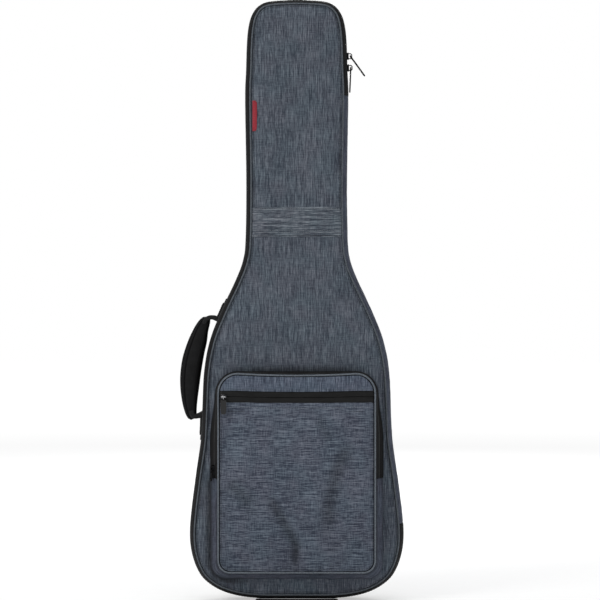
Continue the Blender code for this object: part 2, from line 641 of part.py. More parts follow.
def side_slider():
    base_w, face_w = POCKET_BASE.half_width, POCKET_FACE.half_width
    slope = Vector((base_w - face_w, POCKET_FACE_Y - POCKET_BASE_Y, 0)).normalized()
    outward = Vector((slope.y, -slope.x, 0))
    up = Vector((0, 0, 1))
    at = Vector((-0.5 * (base_w + face_w), 0.5 * (POCKET_BASE_Y + POCKET_FACE_Y), SIDE_SLIDER_Z))
    holder = empty("side_slider_frame", at, cover)
    lift = slider("side_slider", at, up, outward, TAPE_ROOM, "metal", holder, length=11.0, width=9.0)
    pull("side_pull", at + outward * (lift - PIVOT_DROP), up, outward, 6.0,
         length=24.0, width=7.4, parent=holder)


main_sliders()
pocket_slider()
side_slider()

# ------------------------------------------------------------------ side handle
HANDLE_TOP, HANDLE_LOW = Vector((-144.6, HANDLE_Y, 505.0)), Vector((-173.6, HANDLE_Y, 331.0))
# Padded grip: (x, z, half width) down its middle.
GRIP = [(-161.5, 504, 5), (-168, 497, 9), (-173, 485, 12.4), (-178.5, 467, 15.6), (-184, 449, 17.0),
        (-188.4, 431, 18.0), (-191.4, 413, 18.0), (-193.2, 395, 17.4), (-194, 377, 15.9),
        (-193.9, 359, 13.6), (-192.8, 345, 11.0), (-190.8, 336, 8.0), (-188.2, 331, 5.0)]
GRIP_FLATTEN = 0.68      # scale of the round grip along Y
LINK_W, LINK_HALF_T, LINK_START = 13.0, 2.6, 2.6     # LINK_START: from the hinge end to the webbing


def handle_grip():
    widest = max(half_width for _, _, half_width in GRIP)
    tube("handle_grip", [(x, 0, z) for x, z, _ in GRIP], widest, "black_cloth", resolution=3,
         radii=[half_width / widest for _, _, half_width in GRIP],
         matrix=shift(0, HANDLE_Y, 0) @ Matrix.Diagonal((1, GRIP_FLATTEN, 1, 1)), parent=handle)


def handle_link(name, hinge_end, grip_end):
    """Webbing between the side and the grip, its width along Y."""
    along = (grip_end - hinge_end).normalized()
    normal = Vector((-along.z, 0, along.x)) * LINK_HALF_T
    start = hinge_end + along * LINK_START
    corners = (start - normal, grip_end - normal, grip_end + normal, start + normal)
    flat(name, [[(at.x, at.z) for at in corners]], LINK_W, "webbing", front_plane(HANDLE_Y), handle)


handle = empty("handle_hinge", HANDLE_TOP.lerp(HANDLE_LOW, 0.5))
handle_grip()
handle_link("handle_link_upper", HANDLE_TOP, Vector((-160.4, HANDLE_Y, 506.0)))
handle_link("handle_link_lower", HANDLE_LOW, Vector((-182.6, HANDLE_Y, 330.4)))
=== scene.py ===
"""Looks of a padded gig bag, built round its CAD frame.

The bag stands upright: +x is right, +z is up and the front cover faces -y.  Lengths are
millimetres, turned into metres by MM.  A place on the outline is an arc length that starts at
the bottom centre, climbs the right side and comes back down the left.
"""

import math

import bmesh
import bpy
import numpy as np
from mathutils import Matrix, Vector
from mathutils.bvhtree import BVHTree


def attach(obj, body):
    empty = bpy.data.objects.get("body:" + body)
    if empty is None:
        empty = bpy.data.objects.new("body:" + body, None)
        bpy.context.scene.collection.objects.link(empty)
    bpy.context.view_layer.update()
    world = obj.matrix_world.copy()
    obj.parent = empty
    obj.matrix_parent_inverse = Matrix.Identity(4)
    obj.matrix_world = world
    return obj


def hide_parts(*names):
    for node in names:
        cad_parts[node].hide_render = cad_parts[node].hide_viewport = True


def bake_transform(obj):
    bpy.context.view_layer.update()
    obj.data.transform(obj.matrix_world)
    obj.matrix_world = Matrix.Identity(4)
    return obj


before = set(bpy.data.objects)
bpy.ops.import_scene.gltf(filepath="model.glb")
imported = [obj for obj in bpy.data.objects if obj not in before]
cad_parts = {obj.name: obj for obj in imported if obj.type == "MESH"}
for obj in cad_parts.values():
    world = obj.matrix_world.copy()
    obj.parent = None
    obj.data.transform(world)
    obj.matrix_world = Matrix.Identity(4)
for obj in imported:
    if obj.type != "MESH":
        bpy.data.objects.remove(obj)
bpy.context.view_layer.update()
scene = bpy.context.scene
MM = 0.001

# ------------------------------------------------------------------ driving dimensions, as in the CAD
# Right half of the bag's outline, from bottom centre to top centre: x, z
OUTLINE = [
    (0, 3), (62, 3.2), (104, 7.5), (138, 18), (165, 36), (180, 58), (189.5, 88), (192.3, 120),
    (189.5, 161), (181, 228), (172.5, 288), (169.8, 345), (166.5, 412), (156, 467), (135, 521),
    (109.7, 575), (96.5, 611), (92, 650), (90.8, 755), (92.9, 899), (91.3, 950), (89.7, 1000),
    (86.8, 1030), (80.5, 1052), (68, 1068), (47, 1075.8), (0, 1078),
]
FACE_Y = 40.6                            # half depth of the bag
SEAM_IN = 9.6                            # centre of the piping, inside the outline
PANEL_INSET = SEAM_IN + 1.3
PIPING_R = 1.55
ZIP_Y = -12.0                            # plane where the cover meets the shell
SPINE_LOW, SPINE_TOP = 139.5, 905.0      # ends of the spine on the right side
HANDLE_Y = 10.0

# Accessory pocket: half width, bottom, top and corner radii
POCKET_BASE = dict(w=151.0, low=40.5, top=414.5, r_low=28.0, r_top=43.0)
POCKET_FACE = dict(w=139.0, low=56.0, top=408.4, r_low=21.0, r_top=34.0)
BASE_Y, POCKET_Y = -41.4, -72.2          # its foot on the cover, and its face
FLAP_Z = 216.0                           # the pocket's side zip reaches down to here
ZIP_LOW, ZIP_HIGH = 358.1, 377.5         # the opening of the pocket's face zip

# Padded strips, down their middle line: x, z, half width
GRIP = [
    (-159.8, 506, 6.0), (-166.8, 498, 9.6), (-173, 485, 12.4), (-178.5, 467, 15.6),
    (-184, 449, 17.0), (-188.4, 431, 18.0), (-191.4, 413, 18.0), (-193.2, 395, 17.4),
    (-194, 377, 15.9), (-193.9, 359, 13.6), (-192.9, 345, 11.4), (-191.0, 334, 9.4),
    (-186.8, 323.8, 6.8),
]
SHOULDER_PAD = [(34, 645, 19), (37, 610, 24), (43, 560, 29), (52, 500, 32), (62, 440, 33),
                (71, 380, 32), (78, 330, 28), (82, 298, 19)]


# ------------------------------------------------------------------ materials
def lin(rgb, times=1.0, plus=0.0):
    """An sRGB colour, 0..255, scaled and shifted, as linear RGBA."""
    def one(c):
        c = min(255.0, c * times + plus) / 255.0
        return c / 12.92 if c <= 0.04045 else ((c + 0.055) / 1.055) ** 2.4
    return (*(one(c) for c in rgb), 1.0)


def grey(value):
    return (value, value, value, 1)


BLACK, WHITE = grey(0), grey(1)


class Shader:
    """A node material with a Principled shader, and short ways to feed it."""

    def __init__(self, name):
        self.mat = bpy.data.materials.new(name)
        self.mat.use_nodes = True
        self.tree = self.mat.node_tree
        self.tree.nodes.clear()
        self.out = self.node("OutputMaterial")
        self.bsdf = self.node("BsdfPrincipled")
        self.link(self.bsdf.outputs[0], self.out.inputs[0])

    def node(self, kind):
        return self.tree.nodes.new("ShaderNode" + kind)

    def link(self, source, target):
        self.tree.links.new(source, target)

    def put(self, socket, value):
        if isinstance(value, bpy.types.NodeSocket):
            self.link(value, socket)
        else:
            socket.default_value = value

    def fed(self, kind, vector, **values):
        """A node with its Vector linked and its other inputs set."""
        n = self.node(kind)
        self.link(vector, n.inputs["Vector"])
        for key, value in values.items():
            n.inputs[key].default_value = value
        return n

    def uv(self):
        n = self.node("UVMap")
        n.uv_map = "cloth"
        return n.outputs[0]

    def obj(self):
        return self.node("TexCoord").outputs["Object"]

    def axes(self, vector):
        n = self.node("SeparateXYZ")
        self.link(vector, n.inputs[0])
        return n.outputs

    def scaled(self, vector, stretch, turn=0.0, shift=(0, 0, 0)):
        return self.fed("Mapping", vector, Scale=(*stretch, 1.0)[:3], Rotation=(0, 0, turn),
                        Location=shift).outputs[0]

    def noise(self, vector, stretch=None, shift=(0, 0, 0), scale=1.0, detail=3.0, rough=0.6,
              distort=0.0):
        if stretch:
            vector = self.scaled(vector, stretch, shift=shift)
        return self.fed("TexNoise", vector, Scale=scale, Detail=detail, Roughness=rough,
                        Distortion=distort).outputs["Fac"]

    def cells(self, vector, stretch):
        n = self.fed("TexVoronoi", self.scaled(vector, stretch), Scale=1.0)
        return n.outputs["Distance"]

    def wave(self, vector, stretch, scale):
        """Bands along y."""
        n = self.fed("TexWave", self.scaled(vector, stretch), Scale=scale, Distortion=0.0)
        n.bands_direction = "Y"
        return n.outputs["Fac"]

    def math(self, operation, a, b=0.0):
        n = self.node("Math")
        n.operation = operation
        self.put(n.inputs[0], a)
        self.put(n.inputs[1], b)
        return n.outputs[0]

    def affine(self, value, times, plus):
        return self.math("ADD", self.math("MULTIPLY", value, times), plus)

    def sine(self, value, rate):
        return self.math("SINE", self.math("MULTIPLY", value, rate))

    def total(self, *parts):
        """Sum of (value, weight) pairs."""
        products = [self.math("MULTIPLY", value, weight) for value, weight in parts]
        result = products[0]
        for product in products[1:]:
            result = self.math("ADD", result, product)
        return result

    def ramp(self, fac, *stops):
        """Blends between two (position, colour) stops."""
        n = self.node("ValToRGB")
        for item, (position, colour) in zip(n.color_ramp.elements, stops):
            item.position = position
            item.color = colour
        self.link(fac, n.inputs[0])
        return n.outputs[0]

    def mix(self, fac, a, b, blend="MIX"):
        n = self.node("Mix")
        n.data_type = "RGBA"
        n.blend_type = blend
        for index, value in ((0, fac), (6, a), (7, b)):
            self.put(n.inputs[index], value)
        return n.outputs[2]

    def multiply(self, fac, a, b):
        return self.mix(fac, a, b, "MULTIPLY")

    def bump(self, height, strength, distance):
        n = self.node("Bump")
        n.inputs["Strength"].default_value = strength
        n.inputs["Distance"].default_value = distance
        self.link(height, n.inputs["Height"])
        return n.outputs[0]

    def weave(self, vector, pitch):
        """Plain weave: 0..1 height of crossing yarns, pitch in metres."""
        x, y, _ = self.axes(vector)
        a = self.sine(x, math.pi / pitch)
        b = self.sine(y, math.pi / pitch)
        return self.affine(self.math("MULTIPLY", a, b), 0.5, 0.5)

    def set(self, **values):
        for key, value in values.items():
            self.put(self.bsdf.inputs[key.replace("_", " ")], value)
        return self.mat


def heather(name, turn=False, dark=(50, 56, 66), mid=(79, 86, 95), light=(113, 121, 129),
            gain=1.15, cross=0.30, sheen=0.10, blue=0, slub=26, fine=560):
    """Two-tone melange cloth: long thin slubs along the warp, weaker ones along the weft."""
    dark, mid, light = (lin((r, g, b + blue)) for r, g, b in (dark, mid, light))
    n = Shader(name)
    uv = n.uv()
    turned = n.scaled(uv, (1, 1), turn=math.pi / 2 if turn else 0.0)
    long_slub = n.noise(turned, (fine, slub), rough=0.62)
    short_slub = n.noise(turned, (1150, 95), shift=(3.1, 7.7, 0), detail=2, rough=0.6)
    weft = n.noise(turned, (55, 760), shift=(9.2, 1.3, 0), detail=2, rough=0.5)
    cloud = n.noise(uv, (16, 12), shift=(2.0, 5.0, 0), rough=0.5)
    # Weights of the four patterns; their mean is brought back to 0.5.
    long_share, short_share, cloud_share = 0.78, 0.50, 0.16
    tone = n.total((long_slub, long_share * gain), (short_slub, short_share * gain),
                   (weft, cross * gain), (cloud, cloud_share))
    mean = 0.5 * ((long_share + short_share + cross) * gain + cloud_share)
    tone = n.math("ADD", n.math("SUBTRACT", tone, mean), 0.5)
    colour = n.ramp(tone, (0.34, dark), (0.5, mid))
    # The ramp has a third stop for the lightest yarns.
    stops = colour.node.color_ramp.elements
    stops.new(0.68).color = light
    hue = n.noise(uv, (24, 20), shift=(7.0, 1.0, 0), detail=2, rough=0.5)
    tint = n.ramp(hue, (0.36, (0.965, 1.02, 1.03, 1)), (0.64, (1.03, 0.985, 1.005, 1)))
    colour = n.multiply(1.0, colour, tint)
    cloth = n.weave(uv, pitch=0.0009)
    yarn = n.total((cloth, 0.6), (tone, 0.9))
    # Painted light and shade of the weave: its hollows darker, its raised crossings lighter.
    weave_shading = n.ramp(cloth, (0.0, (0.35, 0.35, 0.37, 1)), (1.0, grey(1.25)))
    colour = n.multiply(0.16, colour, weave_shading)
    shade = n.node("Attribute")
    shade.attribute_name = "shade"       # creases hold a little shade
    keep = n.math("SUBTRACT", 1.0, shade.outputs["Fac"])
    colour = n.multiply(1.0, colour, n.ramp(keep, (0.0, BLACK), (1.0, WHITE)))
    return n.set(Base_Color=colour, Roughness=n.affine(tone, times=-0.12, plus=0.88),
                 Specular_IOR_Level=0.25, Sheen_Weight=sheen, Sheen_Roughness=0.5,
                 Normal=n.bump(yarn, strength=0.35, distance=0.0005))


def nylon(name, rgb=(19, 19, 20), pitch=0.0007, spread=7, rough=0.62, rib=0.0):
    """Black woven cloth. rib is the pitch of ribs along v."""
    n = Shader(name)
    uv = n.uv()
    cloth = n.weave(uv, pitch)
    mottled = n.noise(uv, (90, 90), detail=4, rough=0.6)
    tone = n.total((cloth, 0.45), (mottled, 0.55))
    height = cloth
    if rib:
        ribs = n.wave(uv, (1 / rib, 1 / rib), scale=0.157)
        tone = n.total((tone, 0.5), (ribs, 0.5))
        height = n.affine(cloth, times=0.3, plus=ribs)
    colour = n.ramp(tone, (0.2, lin(rgb, plus=-spread)), (0.75, lin(rgb, plus=spread * 1.5)))
    return n.set(Base_Color=colour, Roughness=n.affine(mottled, times=0.25, plus=rough - 0.1),
                 Specular_IOR_Level=0.09, Sheen_Weight=0.012,
                 Normal=n.bump(height, strength=0.4, distance=0.0004))


def webbing(name, rgb=(17, 17, 18)):
    """Flat webbing with herringbone rows along u."""
    n = Shader(name)
    uv = n.uv()
    x, y, _ = n.axes(uv)
    zigzag = n.math("PINGPONG", y, 0.003)
    slant = n.math("ADD", x, n.math("MULTIPLY", zigzag, 0.8))
    ribs = n.affine(n.sine(slant, rate=3900.0), times=0.5, plus=0.5)
    wear = n.noise(uv, (120, 120), detail=4, rough=0.6)
    tone = n.total((ribs, 0.6), (wear, 0.4))
    colour = n.ramp(tone, (0.15, lin(rgb, plus=-12)), (0.85, lin(rgb, plus=16)))
    return n.set(Base_Color=colour, Roughness=0.68, Specular_IOR_Level=0.35,
                 Normal=n.bump(ribs, strength=0.6, distance=0.0006))


def spacer_mesh(name, rgb=(52, 53, 57)):
    """Spacer mesh with small holes."""
    n = Shader(name)
    uv = n.uv()
    hole = n.ramp(n.cells(uv, (330, 330)), (0.18, BLACK), (0.42, WHITE))
    fuzz = n.noise(uv, (1100, 1100), detail=2, rough=0.5)
    colour = n.mix(hole, lin((9, 9, 10)), lin(rgb))
    colour = n.multiply(0.3, colour, n.ramp(fuzz, (0.3, grey(0.6)), (0.7, grey(1.5))))
    return n.set(Base_Color=colour, Roughness=0.85, Specular_IOR_Level=0.2, Sheen_Weight=0.15,
                 Normal=n.bump(hole, strength=0.8, distance=0.0012))


def plush(name, rgb=(88, 90, 96)):
    """Brushed lining: fine pile with soft shading patches."""
    n = Shader(name)
    uv = n.uv()
    pile = n.noise(uv, (1500, 900), rough=0.7)
    nap = n.noise(uv, (26, 17), detail=4, rough=0.55, distort=0.6)
    tone = n.total((pile, 0.8), (nap, 0.2))
    colour = n.ramp(tone, (0.33, lin(rgb, plus=-15)), (0.66, lin(rgb, plus=15)))
    return n.set(Base_Color=colour, Roughness=0.95, Specular_IOR_Level=0.1, Sheen_Weight=0.5,
                 Sheen_Roughness=0.4, Normal=n.bump(pile, strength=0.5, distance=0.0008))


def cord(name, rgb=(86, 92, 99)):
    """Woven piping: slanted yarns round a cord."""
    n = Shader(name)
    uv = n.uv()
    x, y, _ = n.axes(uv)
    slant = n.math("ADD", x, n.math("MULTIPLY", y, 0.6))
    yarn = n.affine(n.sine(slant, rate=5200.0), times=0.5, plus=0.5)
    mottled = n.noise(uv, (260, 400), rough=0.6)
    tone = n.total((yarn, 0.35), (mottled, 0.65))
    colour = n.ramp(tone, (0.3, lin(rgb, plus=-34)), (0.7, lin(rgb, plus=26)))
    return n.set(Base_Color=colour, Roughness=0.75, Specular_IOR_Level=0.15,
                 Normal=n.bump(yarn, strength=0.5, distance=0.0004))


def rubber(name, rgb=(24, 24, 25)):
    """Grained rubber or plastic with a little dust."""
    n = Shader(name)
    at = n.obj()
    grain = n.cells(at, (900, 900, 900))
    dust = n.noise(at, scale=60.0, detail=5, rough=0.6)
    colour = n.ramp(dust, (0.35, lin(rgb, plus=-5)), (0.7, lin(rgb, plus=10)))
    return n.set(Base_Color=colour, Roughness=n.affine(dust, times=0.3, plus=0.45),
                 Normal=n.bump(grain, strength=0.35, distance=0.0004))


def metal(name, rgb, rough):
    """Satin metal, with fine scratches and worn lighter edges."""
    n = Shader(name)
    at = n.obj()
    scratch = n.noise(at, (3000, 3000, 220), rough=0.6)
    wear = n.noise(at, scale=420.0, detail=4, rough=0.65)
    edge = n.ramp(n.node("NewGeometry").outputs["Pointiness"], (0.5, BLACK), (0.6, WHITE))
    base = n.ramp(wear, (0.35, lin(rgb, times=0.75)), (0.65, lin(rgb, times=1.15)))
    colour = n.mix(n.math("MULTIPLY", edge, 0.45), base, lin(rgb, times=1.6, plus=12))
    return n.set(Base_Color=colour, Metallic=1.0,
                 Roughness=n.affine(scratch, times=0.35, plus=rough - 0.14),
                 Normal=n.bump(scratch, strength=0.12, distance=0.0002))


def ribbon(name, rgb=(158, 20, 42)):
    """Blank woven ribbon."""
    n = Shader(name)
    uv = n.uv()
    ribs = n.wave(uv, (1, 1), scale=380.0)
    mottled = n.noise(uv, (500, 500), rough=0.5)
    tone = n.total((ribs, 0.35), (mottled, 0.65))
    colour = n.ramp(tone, (0.3, lin(rgb, times=0.72)), (0.7, lin(rgb, times=1.1)))
    return n.set(Base_Color=colour, Roughness=0.6, Sheen_Weight=0.2,
                 Normal=n.bump(ribs, strength=0.4, distance=0.0003))


def coated_tape(name, rgb=(17, 17, 17)):
    """Smooth coated zip tape: a tight cloth under a thin film."""
    n = Shader(name)
    uv = n.uv()
    cloth = n.weave(uv, pitch=0.0006)
    smear = n.noise(uv, (30, 140), detail=4, rough=0.6)
    colour = n.ramp(smear, (0.3, lin(rgb, plus=-6)), (0.7, lin(rgb, plus=9)))
    return n.set(Base_Color=colour, Roughness=n.affine(smear, times=0.3, plus=0.35),
                 Specular_IOR_Level=0.22, Normal=n.bump(cloth, strength=0.18, distance=0.0003))


def sewing_thread(name, rgb):
    n = Shader(name)
    twist = n.noise(n.obj(), (2400, 2400, 2400), detail=2, rough=0.5)
    colour = n.ramp(twist, (0.3, lin(rgb, times=0.7)), (0.7, lin(rgb, times=1.2)))
    return n.set(Base_Color=colour, Roughness=0.55,
                 Normal=n.bump(twist, strength=0.4, distance=0.0003))


MATERIALS = {name: make(name, **values) for name, make, values in (
    ("heather_up", heather, dict(blue=1)),
    ("heather_across", heather, dict(turn=True, gain=1.75, cross=0.35, blue=4, slub=24, fine=760)),
    ("heather_band", heather, dict(turn=True, mid=(86, 93, 102), light=(132, 139, 146),
                                   gain=1.5, cross=0.15, slub=15)),
    ("heather_strip", heather, dict(mid=(84, 93, 104), light=(118, 127, 137), gain=1.25, blue=4)),
    # A darker, bluer copy of the front's heather: painted shade for the spine and the pocket's sides.
    ("heather_side", heather, dict(turn=True, dark=(42, 46, 58), mid=(67, 72, 85),
                                   light=(93, 99, 113), sheen=0.02)),
    ("nylon", nylon, {}),
    ("nylon_back", nylon, dict(rgb=(40, 40, 43), pitch=0.0011, spread=8)),
    ("binding", nylon, dict(rgb=(13, 13, 14), pitch=0.0008, spread=6, rough=0.5, rib=0.0016)),
    ("grip_face", nylon, dict(rgb=(24, 24, 25), pitch=0.0012, spread=10, rough=0.66)),
    ("tape", nylon, dict(rgb=(13, 13, 14), pitch=0.0006, spread=6, rough=0.6, rib=0.0012)),
    ("webbing", webbing, {}),
    ("webbing_back", webbing, dict(rgb=(46, 46, 49))),
    ("nylon_patch", nylon, dict(rgb=(54, 54, 58), pitch=0.0012, spread=9)),
    ("air_mesh", spacer_mesh, {}),
    ("plush", plush, {}),
    ("plush_side", plush, dict(rgb=(70, 72, 78))),
    ("cord", cord, {}),
    # A lighter copy of the piping cord: painted highlight on the pocket's piping, which stands out
    # into the light.
    ("cord_light", cord, dict(rgb=(104, 111, 119))),
    ("cord_black", cord, dict(rgb=(38, 38, 39))),
    ("rubber", rubber, {}),
    ("plastic", rubber, dict(rgb=(20, 20, 21))),
    ("coil", rubber, dict(rgb=(28, 28, 29))),
    ("gunmetal", metal, dict(rgb=(24, 24, 25), rough=0.36)),
    ("bright", metal, dict(rgb=(190, 190, 192), rough=0.24)),
    # A darker copy of the bright metal for the face zip slider's plate: painted shade.
    ("steel", metal, dict(rgb=(58, 58, 60), rough=0.3)),
    ("tag", ribbon, {}),
    ("coated", coated_tape, {}),
    ("thread", sewing_thread, dict(rgb=(66, 70, 78))),
    ("thread_dark", sewing_thread, dict(rgb=(26, 27, 30))),
    ("thread_light", sewing_thread, dict(rgb=(118, 124, 130))),
)}


# ------------------------------------------------------------------ curves and numbers
def unit(vectors):
    return vectors / np.linalg.norm(vectors, axis=-1)[..., None]


def circle(sides):
    """Angles of a ring's corners."""
    return 2 * np.pi * np.arange(sides) / sides


def signed_power(value, power):
    """Squares off a sine or cosine when the power is below 1."""
    return np.sign(value) * np.abs(value) ** power


def soft_step(v, a, b):
    t = np.clip((v - a) / (b - a), 0, 1)
    return t * t * (3 - 2 * t)


def run_lengths(points, closed=False):
    """Distance along a path at each of its points."""
    p = np.asarray(points, float)
    if closed:
        p = np.vstack([p, p[:1]])
    return np.concatenate([[0], np.cumsum(np.linalg.norm(np.diff(p, axis=0), axis=1))])


def resample(places, along, points):
    """Points at the given distances along a path."""
    return np.stack([np.interp(places, along, column) for column in points.T], -1)


def smooth_curve(points, steps, mirrored=False):
    """Catmull-Rom through points. mirrored: the curve's ends lie on the mirror line x = 0."""
    p = np.array(points, float)
    if mirrored:
        before, after = p[1] * (-1, 1), p[-2] * (-1, 1)
    else:
        before, after = 2 * p[0] - p[1], 2 * p[-1] - p[-2]
    p = np.vstack([before, p, after])
    out = []
    for p0, p1, p2, p3 in zip(p, p[1:], p[2:], p[3:]):
        for k in range(steps):
            t = k / steps
            out.append(0.5 * (2 * p1 + (p2 - p0) * t + (2 * p0 - 5 * p1 + 4 * p2 - p3) * t * t
                              + (3 * p1 - p0 - 3 * p2 + p3) * t ** 3))
    out.append(p[-2])
    return np.array(out)


def subdivided(loop, spacing, whole):
    """Adds points along a closed loop; whole turns a fractional count into an integer."""
    out = []
    for a, b in zip(loop, np.roll(loop, -1, 0)):
        count = max(1, int(whole(np.linalg.norm(b - a) / spacing)))
        out += [a + (b - a) * k / count for k in range(count)]
    return np.array(out)


# ------------------------------------------------------------------ meshes
def place(name, mesh, material):
    mesh.shade_smooth()
    obj = bpy.data.objects.new(name, mesh)
    scene.collection.objects.link(obj)
    mesh.materials.append(MATERIALS[material])
    return obj


def mount(obj, body, *nodes):
    """The piece moves with a body and stands in for these CAD nodes."""
    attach(obj, body)
    if nodes:
        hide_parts(*nodes)


def grid(name, points, uv, material, wrap_rows=False, wrap_columns=False, caps=False, flip=False):
    """A mesh from rows of points. uv has one more row or column where the grid wraps."""
    points = np.asarray(points, float)
    rows, columns = points.shape[:2]
    i, j = np.meshgrid(np.arange(rows if wrap_rows else rows - 1),
                       np.arange(columns if wrap_columns else columns - 1), indexing="ij")
    corners = [(i, j), (i, j + 1), (i + 1, j + 1), (i + 1, j)]
    if flip:
        corners.reverse()
    quads = np.stack([a % rows * columns + b % columns for a, b in corners], -1)
    loops = np.stack([uv[a, b] for a, b in corners], 2).reshape(-1, 2)
    faces = quads.reshape(-1, 4).tolist()
    if caps:
        first = list(range(columns))
        faces += [first[::-1], [(rows - 1) * columns + k for k in first]]
        loops = np.vstack([loops, np.zeros((2 * columns, 2))])
    mesh = bpy.data.meshes.new(name)
    mesh.from_pydata((points.reshape(-1, 3) * MM).tolist(), [], faces)
    layer = mesh.uv_layers.new(name="cloth")
    layer.data.foreach_set("uv", (loops * MM).astype(np.float32).ravel())
    return place(name, mesh, material)


def outward(obj):
    """Turns the faces of a closed mesh outwards."""
    bm = bmesh.new()
    bm.from_mesh(obj.data)
    bmesh.ops.recalc_face_normals(bm, faces=bm.faces)
    bm.to_mesh(obj.data)
    bm.free()
    return obj


def solid(name, rings, along, around, material, closed=False):
    """A skin over rings of points, capped unless it closes on itself."""
    uv = np.stack(np.meshgrid(along, around, indexing="ij"), -1)
    return outward(grid(name, rings, uv, material, wrap_rows=closed, wrap_columns=True,
                        caps=not closed))


def sheet(name, rows, material, rings=False, flip=False):
    """An open sheet whose uv is its x and z. rings: each row closes on itself."""
    rows = np.asarray(rows, float)
    uv = rows[:, :, [0, 2]]
    if rings:
        uv = np.concatenate([uv, uv[:, :1]], 1)
    return grid(name, rows, uv, material, wrap_columns=rings, flip=flip)


def face_towards(obj, side, hole=0):
    """Turns a sheet to face +y or -y, first closing the hole inside its first ring."""
    bm = bmesh.new()
    bm.from_mesh(obj.data)
    if hole:
        bm.verts.ensure_lookup_table()
        bm.faces.new([bm.verts[k] for k in range(hole)])
    bmesh.ops.recalc_face_normals(bm, faces=bm.faces)
    bm.normal_update()
    if sum(f.normal.y * f.calc_area() for f in bm.faces) * side < 0:
        bmesh.ops.reverse_faces(bm, faces=bm.faces)
    bm.to_mesh(obj.data)
    bm.free()


def finished(obj, thickness=0.0, levels=1, slot_offset=0):
    """Gives a sheet thickness behind its faces, and subdivision, then applies both."""
    if thickness:
        mod = obj.modifiers.new("thickness", "SOLIDIFY")
        mod.thickness = thickness * MM
        mod.offset = -1
        mod.use_even_offset = False
        mod.material_offset = slot_offset
    if levels:
        sub = obj.modifiers.new("smooth", "SUBSURF")
        sub.levels = sub.render_levels = levels
    bpy.context.view_layer.update()
    graph = bpy.context.evaluated_depsgraph_get()
    mesh = bpy.data.meshes.new_from_object(obj.evaluated_get(graph),
                                           preserve_all_data_layers=True, depsgraph=graph)
    obj.modifiers.clear()
    obj.data = mesh
    mesh.shade_smooth()


def positions(mesh):
    return np.array([v.co for v in mesh.vertices], float) / MM


def set_positions(obj, co):
    obj.data.vertices.foreach_set("co", (co * MM).astype(np.float32).ravel())


def set_shade(obj, value):
    """The share of light that the cloth material takes away at each vertex."""
    layer = obj.data.attributes.new("shade", "FLOAT", "POINT")
    layer.data.foreach_set("value", np.asarray(value, np.float32))


def grid_rim(rows, columns):
    index = np.arange(rows * columns).reshape(rows, columns)
    return np.unique(np.concatenate([index[0], index[-1], index[:, 0], index[:, -1]]))


def lift_inside(obj, rim, rise):
    """Moves every point that isn't on the seam along y, so that the seam lies in a groove."""
    co = positions(obj.data)
    keep = np.ones(len(co), bool)
    keep[rim] = False
    co[keep, 1] += rise
    set_positions(obj, co)


def puff(obj, pinned, pressure, cap, grow, bend=6.0, side=-1.0, frames=18):
    """Cloth with its seam held and pressure behind it; the travel in y is capped softly."""
    start = positions(obj.data)
    group = obj.vertex_groups.new(name="seam")
    group.add([int(k) for k in pinned], 1.0, "REPLACE")
    cloth = obj.modifiers.new("cloth", "CLOTH")
    s = cloth.settings
    s.quality = 5
    s.mass = 0.25
    s.tension_stiffness = s.compression_stiffness = 18
    s.shear_stiffness = 9
    s.bending_stiffness = bend
    s.vertex_group_mass = "seam"
    s.use_pressure = True
    s.uniform_pressure_force = pressure
    s.effector_weights.gravity = 0
    s.shrink_min = -grow
    cloth.collision_settings.use_collision = False
    cloth.collision_settings.use_self_collision = False
    cloth.point_cache.frame_start, cloth.point_cache.frame_end = 1, frames
    for f in range(1, frames + 1):
        scene.frame_set(f)
    graph = bpy.context.evaluated_depsgraph_get()
    simulated = obj.evaluated_get(graph)
    moved = positions(simulated.to_mesh()) - start
    simulated.to_mesh_clear()
    obj.modifiers.clear()
    scene.frame_set(1)
    # A simulation that blows up leaves the sheet as it was.
    if not np.isfinite(moved).all():
        moved = np.zeros_like(moved)
    travel = moved[:, 1] * side
    travel = np.where(travel > 0, cap * (1 - np.exp(-travel / cap)),
                      np.maximum(travel, -cap * 0.4))
    moved[:, [0, 2]] = np.clip(moved[:, [0, 2]], -cap * 0.4, cap * 0.4)
    moved[:, 1] = travel * side
    set_positions(obj, start + moved)
    obj.data.update()


# ------------------------------------------------------------------ stitches
STITCH_SIDES = 5
# Rings of one stitch: share of its length, share of its radius, rise in radii
STITCH_RINGS = ((0.0, 0.5, -0.25), (0.22, 1.0, 0.1), (0.78, 1.0, 0.1), (1.0, 0.5, -0.25))


def stitches(name, path, lift, thread, body, length=3.1, gap=1.5, radius=0.38, closed=False):
    """A row of stitches along 3D points; lift is the outward vector, or one per point."""
    path = np.asarray(path, float)
    lifts = np.broadcast_to(np.asarray(lift, float), path.shape)
    if closed:
        path, lifts = np.vstack([path, path[:1]]), np.vstack([lifts, lifts[:1]])
    along = run_lengths(path)
    count = int(along[-1] // (length + gap))
    verts, faces = [], []
    for start in np.arange(count) * (along[-1] / max(count, 1)):
        root = resample(start, along, path)
        direction = resample(start + length, along, path) - root
        size = np.linalg.norm(direction)
        if size < length * 0.5:
            continue
        direction /= size
        up = unit(resample(start, along, lifts))
        across = unit(np.cross(direction, up))
        base = len(verts)
        for share, fullness, rise in STITCH_RINGS:
            c = root + direction * size * share + up * radius * rise
            for g in circle(STITCH_SIDES):
                spoke = across * math.cos(g) + up * math.sin(g)
                verts.append((c + spoke * radius * fullness) * MM)
        for ring in range(3):
            for q in range(STITCH_SIDES):
                u = base + ring * STITCH_SIDES + q
                v = base + ring * STITCH_SIDES + (q + 1) % STITCH_SIDES
                faces.append((u, v, v + STITCH_SIDES, u + STITCH_SIDES))
        end = [base + q for q in range(STITCH_SIDES)]
        faces += [end[::-1], [k + 3 * STITCH_SIDES for k in end]]
    mesh = bpy.data.meshes.new(name)
    mesh.from_pydata(verts, [], faces)
    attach(outward(place(name, mesh, thread)), body)


